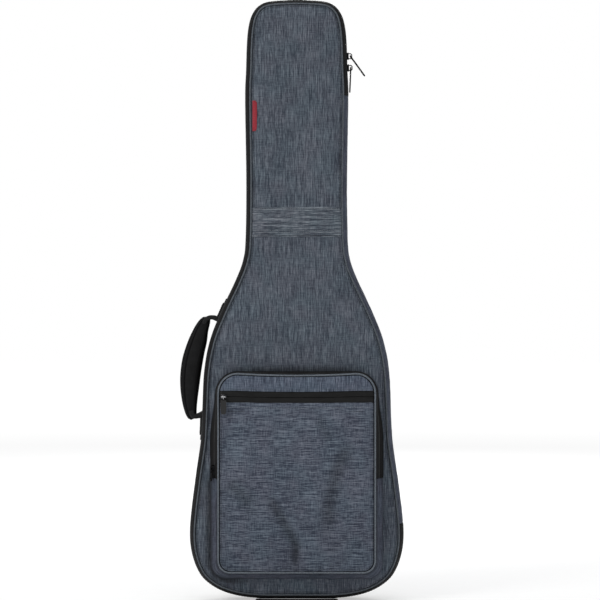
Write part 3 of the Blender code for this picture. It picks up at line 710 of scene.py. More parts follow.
def box_stitch(name, corners, lift, body):
    """Box and cross of stitches between four 3D corners."""
    c = [np.array(q, float) for q in corners]
    for k, (i, j) in enumerate(((0, 1), (1, 2), (2, 3), (3, 0), (0, 2), (1, 3))):
        line = [c[i] + (c[j] - c[i]) * t for t in np.linspace(0.02, 0.98, 12)]
        stitches(f"{name}_{k}", line, lift, "thread", body, length=2.4, gap=1.1, radius=0.3)


class Surface:
    """A finished mesh seen from the +y or -y side, to lay pieces and seams on."""

    def __init__(self, obj, side=-1):
        bm = bmesh.new()
        bm.from_mesh(obj.data)
        self.tree = BVHTree.FromBMesh(bm)
        bm.free()
        self.side = side

    def at(self, x, z, default):
        """y where the mesh is met at (x, z)."""
        start = Vector((x * MM, self.side * 200.0 * MM, z * MM))
        hit = self.tree.ray_cast(start, Vector((0, -self.side, 0)))
        return hit[0].y / MM if hit[0] is not None else default

    def seam(self, name, points, default, rise, thread, body, **stitch):
        """Stitches along (x, z) points, raised from the surface."""
        row = [(x, self.at(x, z, default) + self.side * rise, z) for x, z in points]
        stitches(name, row, (0, self.side, 0), thread, body, **stitch)


# ------------------------------------------------------------------ cords and straps
def tube(name, path, radius, material, closed=False, sides=10, radii=None):
    """A round cord along 3D points."""
    p = np.asarray(path, float)
    after = np.roll(p, -1, 0) if closed else np.vstack([p[1:], p[-1:]])
    before = np.roll(p, 1, 0) if closed else np.vstack([p[:1], p[:-1]])
    direction = unit(after - before)
    a = unit(np.cross(direction, (0.0, 1.0, 0.0)))
    b = np.cross(a, direction)
    g = circle(sides)[None, :, None]
    r = (np.full(len(p), radius) if radii is None else radii)[:, None, None]
    rings = p[:, None, :] + r * (np.cos(g) * a[:, None, :] + np.sin(g) * b[:, None, :])
    around = 2 * np.pi * radius * np.arange(sides + 1) / sides
    return solid(name, rings, run_lengths(p, closed), around, material, closed)


TOOTH_RINGS = 3


def coil(name, path, radius, body, *nodes):
    """Coil teeth: a cord whose radius swells once per tooth."""
    swell = 0.86 + 0.14 * np.cos(2 * np.pi * np.arange(len(path)) / TOOTH_RINGS)
    mount(tube(name, path, radius, "coil", sides=6, radii=radius * swell), body, *nodes)


def rounded(half_w, half_t, corner):
    """Closed cross section of a flat strap: (across, out), corners rounded."""
    out = []
    for sx, sy, start in ((1, 1, 0), (-1, 1, 90), (-1, -1, 180), (1, -1, 270)):
        for k in range(4):
            a = math.radians(start + 90 * k / 3)
            out.append((sx * (half_w - corner) + corner * math.cos(a),
                        sy * (half_t - corner) + corner * math.sin(a)))
    return np.array(out)


def sweep(name, path, across, section, material, scale=None):
    """Sweeps a closed section (across, out) along 3D points."""
    p = np.asarray(path, float)
    direction = unit(np.gradient(p, axis=0))
    a = np.broadcast_to(np.asarray(across, float), p.shape)
    a = unit(a - (a * direction).sum(1)[:, None] * direction)
    b = np.cross(direction, a)
    k = np.ones((len(p), 2)) if scale is None else np.asarray(scale, float)
    rings = (p[:, None, :] + section[None, :, :1] * k[:, None, :1] * a[:, None, :]
             + section[None, :, 1:] * k[:, None, 1:] * b[:, None, :])
    return solid(name, rings, run_lengths(p), run_lengths(section, True), material)


def strap(name, points, across, width, thickness, material):
    """Flat webbing along a smooth path."""
    return sweep(name, smooth_curve(points, 6), across,
                 rounded(width / 2, thickness / 2, thickness * 0.45), material)


def padded(name, line, y, face, body, node, seam_angle, thread, half_depth=0.0, depth_share=0.0,
           mirror=1, flat=2.6, round_end=7.0, quilt=0.0):
    """Padded strip with bound edges and a row of stitches beside them on both faces.

    line is (x, z, half width). The half depth is half_depth plus depth_share of the half width.
    flat is the power of the superellipse section, quilt the distance between its waists.
    """
    p = smooth_curve(line, 6)
    centre, width = p[:, :2] * (mirror, 1), p[:, 2]
    d = unit(np.gradient(centre, axis=0))
    normal = np.stack([d[:, 1], -d[:, 0]], -1)
    along = run_lengths(centre)
    near = np.minimum(along, along[-1] - along)
    end = np.sqrt(np.clip(1 - (1 - np.clip(near / round_end, 0, 1)) ** 2, 0.02, 1))
    depth = (width * depth_share + half_depth) * (0.25 + 0.75 * end)
    wide = width * (0.72 + 0.28 * end)
    if quilt:
        waist = np.exp(-((np.mod(along, quilt) - quilt / 2) / 4.0) ** 2)
        depth = depth * (1 - 0.22 * waist * (near > quilt * 0.4))

    def lay(out, rise):
        """3D points from offsets across the strip and in y, one row per point of the line."""
        return np.stack([centre[:, :1] + normal[:, :1] * out, y + rise,
                         centre[:, 1:] + normal[:, 1:] * out], -1)

    power = 2 / flat
    g = circle(36)
    ca, sa = signed_power(np.cos(g), power), signed_power(np.sin(g), power)
    around = run_lengths(np.stack([ca * width.max(), sa * depth.max()], -1), True)
    core = solid(name, lay(np.outer(wide, ca), np.outer(depth, sa)), along, around, face)
    mount(core, body, node)
    # The binding wraps the edge: 13 points on its outer face, 13 back along its inner one.
    arc = np.linspace(-0.5 * np.pi + 0.42, 0.5 * np.pi - 0.42, 13)
    wrap = np.concatenate([arc, arc[::-1]])
    lift = np.repeat([1.0, -0.6], 13)
    cx, sy = np.abs(np.cos(wrap)) ** power, signed_power(np.sin(wrap), power)
    seam_out = abs(math.cos(seam_angle)) ** power
    seam_rise = abs(math.sin(seam_angle)) ** power
    keep = slice(2, len(centre) - 2)
    for side, label in ((1, "a"), (-1, "b")):
        rings = lay(side * (np.outer(wide, cx) + lift * 0.8),
                    np.outer(depth, sy) + np.sign(sy) * lift * 0.55)[keep]
        binding = solid(f"{name}_binding_{label}", rings, along[keep], np.arange(27) * 1.2,
                        "binding")
        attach(binding, body)
        for front, tag in ((-1, "f"), (1, "r")):
            row = lay((wide * seam_out * side)[:, None],
                      (front * (depth * seam_rise + 0.75))[:, None])[3:-3, 0]
            stitches(f"{name}_seam_{label}{tag}", row, (0, front, 0), thread, body,
                     length=3.0, gap=1.7)


def carried(nodes, material, bevel, segments=2, swell=0.0):
    """CAD nodes that stay in view, with rounded edges. swell thickens them all round."""
    for node in nodes:
        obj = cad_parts[node]
        obj.data.materials.clear()
        obj.data.materials.append(MATERIALS[material])
        weld = obj.modifiers.new("weld", "WELD")
        weld.merge_threshold = 1e-5
        if swell:
            fuller = obj.modifiers.new("fuller", "DISPLACE")
            fuller.strength, fuller.mid_level = swell * MM, 0.0
        mod = obj.modifiers.new("edges", "BEVEL")
        mod.width = bevel * MM
        mod.segments = segments
        mod.limit_method = "ANGLE"
        mod.angle_limit = math.radians(35)
        mod.harden_normals = False


# ------------------------------------------------------------------ the outline
half = smooth_curve(OUTLINE, 10, mirrored=True)
ring = np.vstack([half, (half * (-1, 1))[-2:0:-1]])
RING_S = run_lengths(ring, True)
ROUND = RING_S[-1]
HALF_S = RING_S[:len(half)]
tangent = unit(np.roll(ring, -1, 0) - np.roll(ring, 1, 0))
ring_normal = np.stack([tangent[:, 1], -tangent[:, 0]], -1)
ring_closed = np.vstack([ring, ring[:1]])
normal_closed = np.vstack([ring_normal, ring_normal[:1]])


def outline_at(places, out=0.0):
    """Points (x, z) at places on the outline, moved outwards, and the normals there."""
    places = np.mod(np.asarray(places, float), ROUND)
    p = resample(places, RING_S, ring_closed)
    n = unit(resample(places, RING_S, normal_closed))
    return p + n * np.asarray(out)[..., None], n


def along_outline(places, out, y):
    """3D points on the outline, and their outward vectors."""
    p, n = outline_at(places, out)
    return (np.stack([p[:, 0], np.zeros(len(p)) + y, p[:, 1]], -1),
            np.stack([n[:, 0], np.zeros(len(p)), n[:, 1]], -1))


def s_right(z):
    return float(np.interp(z, half[:, 1], HALF_S))


def s_left(z):
    return ROUND - s_right(z)


def half_width(z, out=0.0):
    p, _ = outline_at(HALF_S, out)
    keep = np.concatenate([[True], np.diff(np.maximum.accumulate(p[:, 1])) > 1e-6])
    return float(np.interp(z, p[keep, 1], p[keep, 0]))


def wobble(places, seed, wave=70.0):
    """Smooth repeatable unevenness along a seam."""
    total = 0.0
    for k, share in ((1.0, 0.5), (2.3, 0.3), (4.1, 0.2)):
        total = total + share * np.sin(2 * np.pi * places * k / wave + seed * (1.7 + k)
                                       + 1.3 * np.sin(places * k / wave * 2.1 + seed))
    return total


def band(name, profile, material, start=None, end=None, step=5.0, ripple=0.0, seed=0.0):
    """A strip round the outline. profile is a closed list of (outwards, y)."""
    closed = start is None
    if closed:
        start, end = 0.0, ROUND
    count = int(round((end - start) / step))
    along = start + (end - start) * np.arange(count + 1) / count
    places = along[:-1] if closed else along
    columns = [along_outline(places, out + ripple * wobble(places, seed + y * 0.05), y)[0]
               for out, y in profile]
    return solid(name, np.stack(columns, 1), along, run_lengths(profile, True), material, closed)


def walled(curve, thickness):
    """A closed profile from an outer curve, its thickness laid inwards, with rounded lips."""
    c = np.asarray(curve, float)
    d = unit(np.gradient(c, axis=0))
    n = np.stack([d[:, 1], -d[:, 0]], -1)
    if n[len(n) // 2, 0] > 0:
        n = -n
    inner = c + n * thickness
    first = (c[0] + inner[0]) / 2 - d[0] * thickness * 0.45
    last = (c[-1] + inner[-1]) / 2 + d[-1] * thickness * 0.45
    return np.vstack([c, last, inner[::-1], first])


# The main zip runs from the spine's top over the head, down the left and along the bottom.
ZIP_START, ZIP_END = s_right(SPINE_TOP), s_right(SPINE_LOW) + ROUND
SPINE_START, SPINE_END = s_right(SPINE_LOW), s_right(SPINE_TOP)


# ------------------------------------------------------------------ large panels
def panel_sheet(name, inset, y, material, columns=47, step=7.5):
    """Flat sheet that fills the outline, inset from it, and the indices of its rim."""
    p, _ = outline_at(HALF_S, -inset)
    low, top = p[0, 1], p[-1, 1]
    start = int(np.argmax(p[:, 0] > 58))
    stop = len(p) - int(np.argmax(p[::-1, 0] > 44)) - 1
    p = p[start:stop + 1]
    s = run_lengths(p)
    x, z = resample(np.linspace(0, s[-1], int(s[-1] // step) + 1), s, p).T
    u = np.linspace(-1, 1, columns)
    rows = np.zeros((len(x), columns, 3))
    rows[:, :, 0] = x[:, None] * u[None, :]
    rows[:, :, 1] = y
    rows[:, :, 2] = z[:, None]
    bow = 1 - u ** 2                     # the end rows reach the outline's own top and bottom
    rows[-1, :, 2] += (top - z[-1]) * bow
    rows[0, :, 2] += (low - z[0]) * bow
    return sheet(name, rows, material, flip=y > 0), grid_rim(len(x), columns)


def pocket_gap(x, z):
    """Distance outside the pocket's line on the cover: a rounded rectangle, narrower on top."""
    radius, middle_z, half_height = 34, 226.2, 185.8
    width = 152.5 - 8.0 * soft_step(z, 290, 375)
    qx = np.abs(x) - (width - radius)
    qz = np.abs(z - middle_z) - (half_height - radius)
    outside = np.hypot(np.maximum(qx, 0), np.maximum(qz, 0))
    return outside + np.minimum(np.maximum(qx, qz), 0) - radius


def front_cover():
    cover, rim = panel_sheet("front_cover_cloth", PANEL_INSET, -38.9, "heather_up")
    lift_inside(cover, rim, -1.6)
    puff(cover, rim, pressure=3.2, cap=5.0, grow=0.012)
    co = positions(cover.data)
    x, z = co[:, 0], co[:, 2]
    # Where the pocket is sewn on, the cover lies flat under it.
    inside = np.minimum(POCKET_BASE["w"] - np.abs(x),
                        np.minimum(z - POCKET_BASE["low"], POCKET_BASE["top"] - z))
    flat = soft_step(inside, 3.0, 12.0)
    co[:, 1] = co[:, 1] * (1 - flat) + (-40.3) * flat
    set_positions(cover, co)
    # The pocket's side meets the cover in a shaded crease: deepest on the left and on top.
    gap = np.maximum(pocket_gap(x, z), 0)
    low = 1 - soft_step(z, 205, 240)
    left = 0.74 * soft_step(-x, 60, 140) * low * np.exp(-(np.maximum(gap - 2.0, 0) / 7.0) ** 2)
    right = 0.12 * soft_step(x, 60, 140) * low * np.exp(-(gap / 6.0) ** 2)
    top = (0.66 * soft_step(z, 395, 408) * np.clip(1 - (np.abs(x) / 118.0) ** 4, 0, 1)
           * np.exp(-(gap / 6.5) ** 2))
    set_shade(cover, np.maximum(np.maximum(left, right), top))
    finished(cover, 1.1)
    mount(cover, "cover", "front_panel")
    return Surface(cover)


def back_panel():
    panel, rim = panel_sheet("back_panel_cloth", PANEL_INSET, 38.9, "nylon_back")
    lift_inside(panel, rim, 1.4)
    puff(panel, rim, pressure=2.4, cap=3.0, grow=0.012, side=1.0)
    co = positions(panel.data)
    # Pressed in a little on each side under the ladder locks.
    co[:, 1] -= 2.0 * np.exp(-((np.abs(co[:, 0]) - 86.0) / 24.0) ** 2
                             - ((co[:, 2] - 272.0) / 26.0) ** 2)
    set_positions(panel, co)
    finished(panel, 1.1)
    mount(panel, "shell", "back_panel")
    return Surface(panel, 1)


PAD_SEAMS = (180.0, 330.0, 480.0, 640.0, 790.0, 940.0)   # heights of the lining's sewn channels


def inner_pad(name, inset, y_out, y_in, nodes, body, crown):
    """Quilted lining on the inside of a panel. crown is the y side that it faces."""
    pad, rim = panel_sheet(name, inset, y_in, "plush", 39, 9.0)
    co = positions(pad.data)
    quilt = sum(np.exp(-((co[:, 2] - z) / 9.0) ** 2) for z in PAD_SEAMS)
    rise = 1.0 - 0.75 * np.clip(quilt, 0, 1)
    inside = np.ones(len(co))
    inside[rim] = 0.0
    co[:, 1] += crown * 2.2 * (rise - 0.45) * inside
    set_positions(pad, co)
    if crown < 0:
        pad.data.flip_normals()
    face_towards(pad, crown)             # so that the thickness is laid towards the outer panel
    finished(pad, abs(y_out - y_in) - 0.6)
    mount(pad, body, *nodes)
    surface = Surface(pad, crown)
    for k, z in enumerate(PAD_SEAMS):
        w = half_width(z, -SEAM_IN - 4.0)
        surface.seam(f"{name}_seam_{k}", [(x, z) for x in np.linspace(-w, w, 60)], y_in, 0.15,
                     "thread_light", body, radius=0.45)


front_at = front_cover()
back_at = back_panel()
inner_pad("back_inner_pad", SEAM_IN - 0.2, 38.0, 28.6, ("back_foam", "back_lining"), "shell", -1)
inner_pad("front_inner_pad", SEAM_IN + 0.4, -38.0, -28.6, ("front_foam", "front_lining"),
          "cover", 1)

# ------------------------------------------------------------------ sides, spine and their padding
# Cross sections of the sides: outwards, y
REAR_BEND = [(0.1, 12.0), (-0.3, 20.0), (-1.9, 28.0), (-5.0, 34.5), (-8.6, 38.6)]
FRONT_BEND = [(-8.6, -38.8), (-5.6, -35.0), (-3.2, -30.5)]
SIDE_REAR = [(-0.9, -3.0), (-0.1, 4.0)] + REAR_BEND
SIDE_FRONT = FRONT_BEND + [(-1.6, -25.5), (-0.9, -20.5)]
SPINE_REAR = [(-0.6, ZIP_Y + 0.9), (-0.2, -4.0), (0.0, 4.0)] + REAR_BEND
SPINE_FRONT = FRONT_BEND + [(-1.5, -25.0), (-0.7, -19.0), (-0.6, ZIP_Y - 0.9)]
SIDE_SPAN = (ZIP_START + 0.3, ZIP_END - 0.3)
SPINE_SPAN = (SPINE_START, SPINE_END)
for name, curve, thickness, material, span, ripple, seed, body, node in (
        ("side_rear", SIDE_REAR, 1.4, "nylon", SIDE_SPAN, 0.25, 1.0, "shell", "gusset_rear"),
        ("side_front", SIDE_FRONT, 1.3, "nylon", SIDE_SPAN, 0.25, 2.0, "cover", "gusset_front"),
        ("spine_rear_cloth", SPINE_REAR, 1.4, "heather_side", SPINE_SPAN, 0.45, 3.0, "shell",
         "spine_rear"),
        ("spine_front_cloth", SPINE_FRONT, 1.4, "heather_side", SPINE_SPAN, 0.45, 3.0, "cover",
         "spine_front")):
    profile = walled(smooth_curve(curve, 4), thickness)
    mount(band(name, profile, material, *span, ripple=ripple, seed=seed), body, node)


def spine_fold(count=150):
    """The spine's fold: a narrow strip along the spine, between the two halves."""
    s = np.linspace(SPINE_START + 2, SPINE_END - 2, count)
    corners = ((-1.0, 1.1), (-1.0, -1.1), (-1.7, -1.1), (-1.7, 1.1))
    rings = np.stack([along_outline(s, out, ZIP_Y + dy)[0] for out, dy in corners], 1)
    fold = solid("spine_fold", rings, s, [0, 9, 10, 19, 20], "nylon")
    fold.data.materials.append(MATERIALS["plush_side"])   # lining on the inner face
    for k, face in enumerate(fold.data.polygons):
        if k < 4 * (count - 1) and k % 4 == 2:
            face.material_index = 1
    fold.data.shade_smooth()
    fold.data.set_sharp_from_angle(angle=math.radians(50))
    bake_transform(fold)


spine_fold()

# Cross sections of the foam inside the sides: outwards, y
REAR_PADDING = [(-2.1, -1.4), (-2.1, 10.0), (-2.4, 19.0), (-4.2, 26.6), (-5.4, 28.0),
                (-9.0, 27.4), (-9.9, 24.0), (-8.9, 15.0), (-8.4, 5.0), (-8.0, -0.6),
                (-7.0, -1.8), (-3.4, -2.0)]
FRONT_PADDING = [(-9.6, -37.6), (-7.3, -33.8), (-4.8, -29.0), (-2.7, -22.2), (-5.0, -21.3),
                 (-6.6, -22.4), (-8.2, -26.8), (-10.6, -31.0), (-12.4, -36.2)]
for half_name, profile, seed, body in (("rear", REAR_PADDING, 5.0, "shell"),
                                       ("front", FRONT_PADDING, 6.0, "cover")):
    padding = band(f"side_{half_name}_padding", profile, "plush_side", ripple=0.3, seed=seed,
                   step=6.0)
    mount(padding, body, f"gusset_{half_name}_foam")

# ------------------------------------------------------------------ piping and outline seams
ring_places = np.arange(0, ROUND, 5.0)
for half_name, y, material, body in (("front", -FACE_Y - 0.2, "cord", "cover"),
                                     ("rear", FACE_Y - 0.2, "cord_black", "shell")):
    path, _ = along_outline(ring_places, -SEAM_IN, y + wobble(ring_places, 2.0) * 0.15)
    mount(tube(half_name + "_piping_cord", path, PIPING_R, material, closed=True), body,
          half_name + "_piping")

# Just inside the piping, front and back
points, _ = outline_at(ring_places, -(SEAM_IN + 5.2))
front_at.seam("front_seam", points, -41.0, 0.1, "thread_dark", "cover", closed=True)
back_at.seam("rear_seam", points, 41.0, 0.1, "thread_dark", "shell", closed=True)
# On the sides: outwards, y
for name, out, y, body in (("side_seam_rear", -1.35, 26.0, "shell"),
                           ("side_seam_front", -2.0, -27.4, "cover"),
                           ("side_tape_seam_rear", -0.35, -0.6, "shell"),
                           ("side_tape_seam_front", -1.0, -22.2, "cover")):
    path, lift = along_outline(np.arange(ZIP_START + 4, ZIP_END - 4, 6.0), out, y)
    stitches(name, path, lift, "thread_dark", body, length=3.4, gap=1.8)

# ------------------------------------------------------------------ main zip
TOOTH_PITCH = 1.6
for half_name, direction, reach, body, start in (("rear", 1, 11.0, "shell", ZIP_START),
                                                 ("front", -1, 9.9, "cover", ZIP_START + 0.5)):
    y0 = ZIP_Y + direction * 0.45
    tape_curve = [(-2.2, y0), (-2.1, y0 + direction * 3.0), (-1.9, y0 + direction * 6.0),
                  (-1.9, ZIP_Y + direction * reach)]
    tape = band(f"zip_tape_{half_name}_cloth", walled(tape_curve, 0.7), "tape", start,
                ZIP_END - 0.5, step=6.0)
    mount(tape, body, "zip_tape_" + half_name)
    end = ZIP_END - 1.0
    teeth = np.linspace(start, end, int((end - start) / TOOTH_PITCH) * TOOTH_RINGS)
    path, _ = along_outline(teeth, -1.0, ZIP_Y + direction * 1.0)
    coil("zip_chain_" + half_name, path, 1.28, body, "zip_coil_" + half_name)


# ------------------------------------------------------------------ cross band and tag on the cover
def on_front(x, z):
    return front_at.at(x, z, -40.5)


def cross_band():
    """Band across the cover, with folded hems."""
    heights = [651.2, 652.0, 654.0, 657.5, 661.5, 666, 672, 678, 684, 690, 696, 700.5, 703.6,
               704.8, 705.3]
    rows = []
    for z in heights:
        w = half_width(z, -SEAM_IN - 0.9)
        hem = 0.35 if z > 701 or z < 655 else 0.0
        tucked = -0.9 if z in (heights[0], heights[-1]) else 0.0
        row = []
        for x in np.linspace(-w, w, 61):
            fullness = 0.35 + 0.65 * min(1.0, (w - abs(x)) / 5.0)
            ripple = 0.12 * math.sin(x * 0.21 + z) + 0.1 * math.sin(x * 0.53 - z * 2)
            row.append((x, on_front(x * 0.985, z) - (0.85 + hem + tucked) * fullness - ripple, z))
        rows.append(row)
    cloth = sheet("cross_band_cloth", rows, "heather_band")
    finished(cloth, 0.9)
    mount(cloth, "cover", "cross_band")
    surface = Surface(cloth)
    for k, (z, thread) in enumerate(((702.0, "thread_light"), (663.2, "thread_light"),
                                     (659.8, "thread_light"), (654.2, "thread_dark"))):
        w = half_width(z, -SEAM_IN - 4.0)
        surface.seam(f"cross_band_seam_{k}", [(x, z) for x in np.linspace(-w, w, 70)], -42.0,
                     0.12, thread, "cover", length=3.0, gap=1.2, radius=0.32)


def side_tag(low=840.6, top=895.0, left=-79.4, middle=-77.0):
    """Folded ribbon on the left of the cover's upper part."""
    heights = [low, 841.3, 843.5, 848, 855, 862, 870, 878, 886, 890, 892.4, 894.4, top]
    rings = []
    for z in heights:
        right = -70.7 - max(0.0, 3.4 - min(z - low, top - z)) * 0.9
        y_in = on_front(middle, z) - 0.25
        y_out = y_in - 1.5
        loop = [(left, y_in), (left, y_out + 0.5), (-78.5, y_out), (right - 3.5, y_out - 0.15),
                (right - 1.2, y_out - 0.05), (right - 0.3, y_out + 0.3),
                (right, (y_in + y_out) / 2), (right - 0.3, y_in - 0.2), (right - 1.2, y_in),
                (middle, y_in)]
        rings.append([(x, y + 0.15 * math.sin(z * 0.3), z) for x, y in loop])
    mount(solid("side_tag", rings, heights, np.arange(11) * 1.6, "tag"), "cover", "label_tag")
    for k, z in enumerate((844.4, 891.4)):
        y = on_front(middle, z) - 1.95
        row = [(x, y, z) for x in np.linspace(-79.5, -73.5, 6)]
        stitches(f"side_tag_seam_{k}", row, (0, -1, 0), "tag", "cover", length=1.6, gap=0.7,
                 radius=0.22)


cross_band()
side_tag()

# ------------------------------------------------------------------ accessory pocket: its outlines
# Points on half of the pocket's loop: bottom, each corner, side below and above FLAP_Z, top
N_BOTTOM, N_ARC, N_LOW, N_HIGH, N_TOP = 16, 9, 22, 24, 18
# Indices of the flap's ends on the right and left
FLAP_R = N_BOTTOM + N_ARC + N_LOW
LOOP_N = 2 * (FLAP_R + N_HIGH + N_ARC + N_TOP)
FLAP_L = LOOP_N - FLAP_R


def pocket_loop(shape, out=0.0):
    """Closed outline (x, z) from the bottom centre up the right; FLAP_Z has its own point."""
    w, low, top, rl, rt = shape["w"], shape["low"], shape["top"], shape["r_low"], shape["r_top"]
    w, low, top, rl, rt = w + out, low - out, top + out, rl + out, rt + out
    quarter = np.linspace(0, np.pi / 2, N_ARC, endpoint=False)
    h = [(x, low) for x in np.linspace(0, w - rl, N_BOTTOM, endpoint=False)]
    h += [(w - rl + rl * math.sin(a), low + rl - rl * math.cos(a)) for a in quarter]
    h += [(w, z) for z in np.linspace(low + rl, FLAP_Z, N_LOW, endpoint=False)]
    h += [(w, z) for z in np.linspace(FLAP_Z, top - rt, N_HIGH, endpoint=False)]
    h += [(w - rt + rt * math.cos(a), top - rt + rt * math.sin(a)) for a in quarter]
    h += [(x, top) for x in np.linspace(w - rt, 0, N_TOP + 1)]
    h = np.array(h)
    return np.vstack([h, (h * (-1, 1))[-2:0:-1]])


def base_loop(out=0.0):
    """The pocket's line on the cover: it closes in towards the top corners."""
    q = pocket_loop(dict(POCKET_BASE, w=154.6, top=412.0), out)
    q[:, 0] *= 1 - 0.055 * soft_step(q[:, 1], 290, 375)
    return q


def slack(x):
    """How the pocket's top hangs: 1 in the middle, 0 from 105 outwards."""
    return 1 - np.clip(np.abs(x) / 105.0, 0, 1) ** 2


def face_loop(out=0.0):
    """The edge of the pocket's face, its top hanging a little in the middle."""
    q = pocket_loop(POCKET_FACE, out)
    high = q[:, 1] > 380
    q[high, 1] -= 3.2 * slack(q[high, 0])
    return q


# ------------------------------------------------------------------ accessory pocket: its sides
def pocket_wall(name, first, last, curve, material, body, node, thickness, bulge, seed,
                lower=False):
    """The pocket's side between two loop indices. curve is (share of the depth, outwards)."""
    base, face = base_loop(), face_loop()
    index = [k % LOOP_N for k in range(first, last + 1)]
    t = unit(np.roll(base, -1, 0) - np.roll(base, 1, 0))
    normal = np.stack([t[:, 1], -t[:, 0]], -1)[index]
    a, b = base[index], face[index]
    c = np.array(curve, float)
    section = np.vstack([c, (c + (0, -thickness))[::-1]])
    along = run_lengths(a)
    uneven = bulge * wobble(along, seed)
    rings = np.zeros((len(index), len(section), 3))
    for j, (share, out) in enumerate(section):
        out = out + uneven * math.sin(math.pi * min(max(share, 0), 1))
        rings[:, j, [0, 2]] = a + (b - a) * share + normal * out[:, None]
        rings[:, j, 1] = BASE_Y + (POCKET_Y - BASE_Y) * share
    if lower:                            # its ends stop just short of the side zip
        rings[[0, -1], :, 2] -= 0.5
    obj = solid(name, rings, along, run_lengths(section * (31, 1), True), material)
    if lower:                            # shaded at its foot, most on the left, and by the face
        v = positions(obj.data)
        share = np.clip((v[:, 1] - BASE_Y) / (POCKET_Y - BASE_Y), 0, 1)
        left = soft_step(-v[:, 0], 40, 120)
        foot = (0.30 + 0.42 * left) * np.exp(-(share / (0.24 + 0.16 * left)) ** 2)
        set_shade(obj, np.maximum(foot, 0.72 * soft_step(share, 0.72, 0.92)))
    mount(obj, body, node)


pocket_wall("pocket_side_lower", FLAP_L - 1, FLAP_R + LOOP_N + 1,
            [(-0.02, 0.3), (0.1, 0.5), (0.25, 1.2), (0.45, 1.8), (0.65, 1.7), (0.8, 1.1),
             (0.93, 0.3)],
            "heather_side", "cover", "pocket_gusset_lower", thickness=1.3, bulge=0.9, seed=4,
            lower=True)
for half_name, curve, body in (
        ("rear", [(-0.02, 0.2), (0.1, 0.4), (0.3, 0.7), (0.46, 0.3)], "cover"),
        ("front", [(0.54, 0.3), (0.68, 0.7), (0.8, 0.6), (0.93, 0.2)], "pocket_flap")):
    pocket_wall("pocket_side_tape_" + half_name, FLAP_R + 1, FLAP_L - 1, curve, "nylon", body,
                "side_zip_tape_" + half_name, thickness=1.1, bulge=0.4, seed=2)


def pocket_chain(name, share, body, pitch=1.5):
    """Half of the side zip's chain, at a share of the pocket's depth."""
    base, face = base_loop(-0.3), face_loop(-0.3)
    q = (base + (face - base) * share)[FLAP_R + 1:FLAP_L]
    s = run_lengths(q)
    count = int(s[-1] / pitch) * TOOTH_RINGS
    x, z = resample(np.linspace(0, s[-1], count), s, q).T
    y = np.full(count, BASE_Y + (POCKET_Y - BASE_Y) * share)
    coil(name, np.stack([x, y, z], -1), 0.85, body)


pocket_chain("pocket_side_chain_rear", 0.478, "cover")
pocket_chain("pocket_side_chain_front", 0.522, "pocket_flap")

# Piping round the face: one cord.
face_edge = np.insert(face_loop(), 1, POCKET_Y - 0.3, axis=1)
piping = tube("pocket_piping_cord", subdivided(face_edge, 3.5, round), PIPING_R, "cord_light",
              closed=True)
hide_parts("pocket_piping_lower", "pocket_piping_upper")
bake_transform(piping)

# ------------------------------------------------------------------ accessory pocket: its face
CLOTH_INSET = 2.4                        # from the piping's line to the edge of the cloth
CLOTH_LOW = POCKET_FACE["low"] + CLOTH_INSET
CLOTH_TOP = POCKET_FACE["top"] - CLOTH_INSET
CLOTH_R_LOW = POCKET_FACE["r_low"] - CLOTH_INSET
CLOTH_R_TOP = POCKET_FACE["r_top"] - CLOTH_INSET


def face_half_width(z):
    w = POCKET_FACE["w"] - CLOTH_INSET
    if z < CLOTH_LOW + CLOTH_R_LOW:
        r, rise = CLOTH_R_LOW, CLOTH_LOW + CLOTH_R_LOW - z
    elif z > CLOTH_TOP - CLOTH_R_TOP:
        r, rise = CLOTH_R_TOP, z - CLOTH_TOP + CLOTH_R_TOP
    else:
        return w
    return w - r + math.sqrt(max(0.0, r * r - rise ** 2))


STRAIGHT_W = face_half_width(200)        # between the rounded corners


def face_sheet(name, heights, material, sag):
    """Sheet across the pocket's face, and the indices of its rim."""
    columns = 67
    rows = np.zeros((len(heights), columns, 3))
    for i, z in enumerate(heights):
        x = np.linspace(-1, 1, columns) * face_half_width(z)
        rows[i, :, 0] = x
        rows[i, :, 1] = POCKET_Y + 0.6
        rows[i, :, 2] = z - sag * np.clip((z - 340) / 60, 0, 1) * slack(x)
    return sheet(name, rows, material), grid_rim(len(heights), columns)


# Lines of the folds in the face: x, z
CREASE = [(-54, 196), (-38, 174), (-20, 141), (-7, 118), (-1, 103), (-2, 80), (-3, 62)]
DIP = [(99, 292), (87, 268), (74, 243), (66, 211), (59, 176), (55, 128)]
HIGH = [(38, 334), (46, 312), (60, 286)]
LEFT = [(-121, 222), (-101, 199), (-82, 172)]
CORNER = [(96, 128), (76, 106), (56, 88)]
# Folds: line, its shift in x and z, width, height
FOLDS = (
    (CREASE, 0, 0, 8.0, -3.2), (DIP, 0, 0, 11.0, -3.0), (HIGH, 0, 0, 8.0, -1.6),
    (LEFT, 0, 0, 10.0, -1.8), (CORNER, 0, 0, 8.0, -1.2), (CREASE, 15, 4, 8.0, 2.8),
    (CREASE, -14, -4, 9.0, 2.0), (DIP, 22, -8, 12.0, 2.6), (DIP, -24, 4, 16.0, 2.2),
    (LEFT, -6, -24, 11.0, 2.2),
)
# Shade in the folds, and light beside them: the same columns, with the shade as the height
FOLD_SHADES = (
    (CREASE, 0, 0, 9.0, 0.42), (CREASE[3:], 0, 0, 5.0, 0.18), (DIP, 0, 0, 13.0, 0.42),
    (HIGH, 0, 0, 9.0, 0.24), (LEFT, 0, 0, 14.0, 0.36), (CORNER, 0, 0, 9.0, 0.14),
    (CREASE, 17, 2, 8.0, -0.12), (DIP, 24, -34, 10.0, -0.14), (LEFT, -6, -30, 12.0, -0.10),
)


